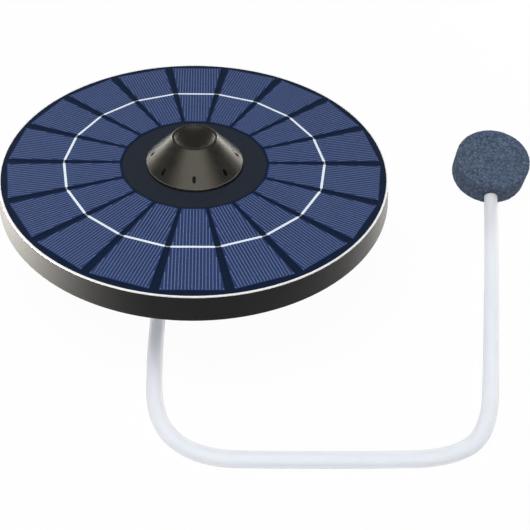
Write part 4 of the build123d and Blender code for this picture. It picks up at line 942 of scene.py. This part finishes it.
def grit_tree():
    """Roughens a block into sintered grit: humps and pores over its face, with loose grains on top."""
    tree, given, ends = start_tree(
        "stone_grit",
        [
            ("Grain Size", "NodeSocketFloat"),
            ("Relief", "NodeSocketFloat"),
            ("Grains Per Square Metre", "NodeSocketFloat"),
            ("Seed", "NodeSocketInt"),
            ("Grit", "NodeSocketMaterial"),
        ],
    )

    def value(title):
        return out(given, title)

    pitch = maths(tree, "DIVIDE", 1.0, value("Grain Size"))
    spot = out(put(tree, "GeometryNodeInputPosition"))
    humps = put(tree, "ShaderNodeTexVoronoi", {"Vector": spot, "Scale": pitch})
    fine = put(tree, "ShaderNodeTexNoise", {"Vector": spot, "Scale": pitch, "Detail": 3.0})
    hump_share = maths(tree, "MULTIPLY", out(humps, "Distance"), 0.8)
    fine_share = maths(tree, "MULTIPLY", out(fine), 0.4)
    depth = maths(tree, "ADD", hump_share, fine_share)
    sunk = maths(tree, "MULTIPLY", maths(tree, "MULTIPLY", depth, value("Relief")), -1.0)
    outward = out(put(tree, "GeometryNodeInputNormal"))
    shift = put(tree, "ShaderNodeVectorMath", {0: outward, "Scale": sunk}, operation="SCALE")
    rough = put(
        tree, "GeometryNodeSetPosition", {"Geometry": out(given, "Geometry"), "Offset": out(shift)}
    )
    spread = put(
        tree,
        "GeometryNodeDistributePointsOnFaces",
        {"Mesh": out(rough), "Density": value("Grains Per Square Metre"), "Seed": value("Seed")},
    )
    sizes = put(
        tree,
        "FunctionNodeRandomValue",
        {RANDOM_SIZE_LOW: 0.25, RANDOM_SIZE_HIGH: 0.6, "Seed": value("Seed")},
        data_type="FLOAT",
    )
    grain = put(tree, "GeometryNodeMeshIcoSphere", {"Radius": 0.5, "Subdivisions": 1})
    tumbled = put(
        tree,
        "FunctionNodeRandomValue",
        {RANDOM_TURN_LOW: (0, 0, 0), RANDOM_TURN_HIGH: (6.3, 6.3, 6.3), "Seed": value("Seed")},
        data_type="FLOAT_VECTOR",
    )
    scale = maths(tree, "MULTIPLY", out(sizes, RANDOM_SIZE), value("Grain Size"))
    grains = put(
        tree,
        "GeometryNodeInstanceOnPoints",
        {"Points": out(spread), "Instance": out(grain), "Rotation": out(tumbled), "Scale": scale},
    )
    both = put(tree, "GeometryNodeJoinGeometry")
    tree.links.new(out(rough), both.inputs[0])
    tree.links.new(out(grains), both.inputs[0])
    end_tree(tree, ends, out(both), value("Grit"))
    return tree


corner_r = STONE_R - STONE_ROUND
edge_rise = STONE_T / 2 - STONE_ROUND
inner_round = STONE_ROUND - STONE_SKIN
stone_outline = [
    (0, STONE_SKIN - STONE_T / 2),
    *rounded((corner_r, -edge_rise), inner_round, -90, 0, STONE_CORNER_STEPS),
    *rounded((corner_r, edge_rise), inner_round, 0, 90, STONE_CORNER_STEPS),
    (0, STONE_T / 2 - STONE_SKIN),
]
stone = lathe("stone_body", stone_outline, STONE_STEPS, finishes["stone_grit"])
fine_mesh = stone.modifiers.new("fine_mesh", "REMESH")
fine_mesh.mode = "VOXEL"
fine_mesh.voxel_size = STONE_MESH
fine_mesh.use_smooth_shade = True
grow(
    stone,
    grit_tree(),
    {
        "Grain Size": GRAIN_SIZE,
        "Relief": GRAIN_RELIEF,
        "Grains Per Square Metre": GRAINS_PER_M2,
        "Seed": GRAIN_SEED,
        "Grit": finishes["stone_grit"],
    },
)
stone.modifiers.clear()
stone_side = Vector((stone_way.y, -stone_way.x, 0))
stone_up = stone_side.cross(stone_dir)
stone_turn = Matrix((stone_side, stone_dir, stone_up)).transposed().to_4x4()
stone.data.transform(Matrix.Translation(stone_at) @ stone_turn)
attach(stone, "hull")
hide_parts("air_stone")

# Floor, world and lamps
floor_mesh = bpy.data.meshes.new("floor")
floor_drawn = bmesh.new()
bmesh.ops.create_grid(floor_drawn, x_segments=1, y_segments=1, size=FLOOR_REACH)
floor_drawn.to_mesh(floor_mesh)
floor_drawn.free()
floor = add_piece("floor", floor_mesh)


def seen_directly(tree):
    """1 where the lens, a gloss or a clear wall looks, and 0 for the light that falls on things."""
    path = put(tree, "ShaderNodeLightPath")
    looks = maths(tree, "MAXIMUM", out(path, "Is Camera Ray"), out(path, "Is Glossy Ray"))
    return maths(tree, "MAXIMUM", looks, out(path, "Is Transmission Ray"))


def floor_finish():
    """Pale paper: white where it is looked at, with a weak shadow kept, and clear from beneath."""
    paper = bpy.data.materials.new("floor_paper")
    paper.use_nodes = True
    tree = paper.node_tree
    tree.nodes.clear()
    matt = put(tree, "ShaderNodeBsdfDiffuse", {"Color": (FLOOR_GREY, FLOOR_GREY, FLOOR_GREY, 1)})
    white = put(tree, "ShaderNodeEmission", {"Color": (1, 1, 1, 1), "Strength": 1.0})
    share = maths(tree, "MULTIPLY", seen_directly(tree), FLOOR_WHITE)
    mix = put(tree, "ShaderNodeMixShader", {0: share, 1: out(matt), 2: out(white)})
    beneath = out(put(tree, "ShaderNodeNewGeometry"), "Backfacing")
    clear = put(tree, "ShaderNodeBsdfTransparent")
    sides = put(tree, "ShaderNodeMixShader", {0: beneath, 1: out(mix), 2: out(clear)})
    put(tree, "ShaderNodeOutputMaterial", {"Surface": out(sides)})
    return paper


floor_mesh.materials.append(floor_finish())


def studio_world():
    """A dark room with a pale card in front, and white where the lens or a clear wall looks."""
    world = bpy.data.worlds.new("studio")
    world.use_nodes = True
    tree = world.node_tree
    tree.nodes.clear()
    way = put(tree, "ShaderNodeTexCoord")
    sides = put(tree, "ShaderNodeSeparateXYZ", {0: out(way, "Generated")})
    not_aside = fade(tree, maths(tree, "ABSOLUTE", out(sides, "X")), CARD_SIDES)
    from_front = fade(tree, out(sides, "Y"), CARD_FRONT)
    near_top = fade(tree, out(sides, "Y"), CARD_NEAR_TOP, 1.0, CARD_NEAR_TOP_SHARE)
    card = maths(tree, "MULTIPLY", not_aside, maths(tree, "MULTIPLY", from_front, near_top))
    level = fade(tree, card, (0.0, 1.0), WORLD_DARK, WORLD_FRONT)
    room = put(tree, "ShaderNodeBackground", {"Color": (1, 1, 1, 1), "Strength": level})
    white = put(tree, "ShaderNodeBackground", {"Color": (1, 1, 1, 1), "Strength": 1.0})
    path = put(tree, "ShaderNodeLightPath")
    low_gloss = maths(tree, "MULTIPLY", out(path, "Is Glossy Ray"), fade(tree, out(sides, "Z"), HORIZON))
    seen_through = maths(tree, "MAXIMUM", out(path, "Is Camera Ray"), out(path, "Is Transmission Ray"))
    white_share = maths(tree, "MAXIMUM", seen_through, low_gloss)
    mix = put(tree, "ShaderNodeMixShader", {0: white_share, 1: out(room), 2: out(white)})
    put(tree, "ShaderNodeOutputWorld", {"Surface": out(mix)})
    return world


scene.world = studio_world()


def hang_lamp(name, at, aim, size, level, colour=(1, 1, 1)):
    """A soft flat lamp whose level is what a white card at its aim would show."""
    lamp_data = bpy.data.lights.new(name, "AREA")
    lamp_data.color = colour
    lamp_data.shape = "RECTANGLE"
    lamp_data.size, lamp_data.size_y = size
    reach = (Vector(aim) - Vector(at)).length
    lamp_data.energy = level * pi * pi * reach * reach
    lamp = bpy.data.objects.new(name, lamp_data)
    lamp.location = at
    lamp.rotation_euler = (Vector(aim) - Vector(at)).to_track_quat("-Z", "Y").to_euler()
    lamp.visible_camera = False
    scene.collection.objects.link(lamp)
    return lamp


key_lamp = hang_lamp("key_lamp", KEY_AT, KEY_AIM, KEY_SIZE, KEY_LEVEL)
key_lamp.visible_glossy = False

# The kickers stand low behind the object, one to each side
for side, sign in (("left", -1), ("right", 1)):
    kicker_at = (sign * KICKER_X, KICKER_Y, KICKER_Z)
    kicker = hang_lamp(f"{side}_kicker", kicker_at, KICKER_AIM, KICKER_SIZE, KICKER_LEVEL)
    kicker.visible_transmission = False

# The strips light the sheen of the tray's rim, and the left one lies flat and shines up past it
left_strip = hang_lamp(
    "left_strip", LEFT_STRIP_AT, LEFT_STRIP_AIM, LEFT_STRIP_SIZE, LEFT_STRIP_LEVEL, STRIP_COLOUR
)
right_strip = hang_lamp(
    "right_strip", RIGHT_STRIP_AT, RIGHT_STRIP_AIM, RIGHT_STRIP_SIZE, RIGHT_STRIP_LEVEL, STRIP_COLOUR
)
for strip in (left_strip, right_strip):
    strip.visible_glossy = False
    strip.visible_transmission = False

scene.view_settings.view_transform = "Standard"
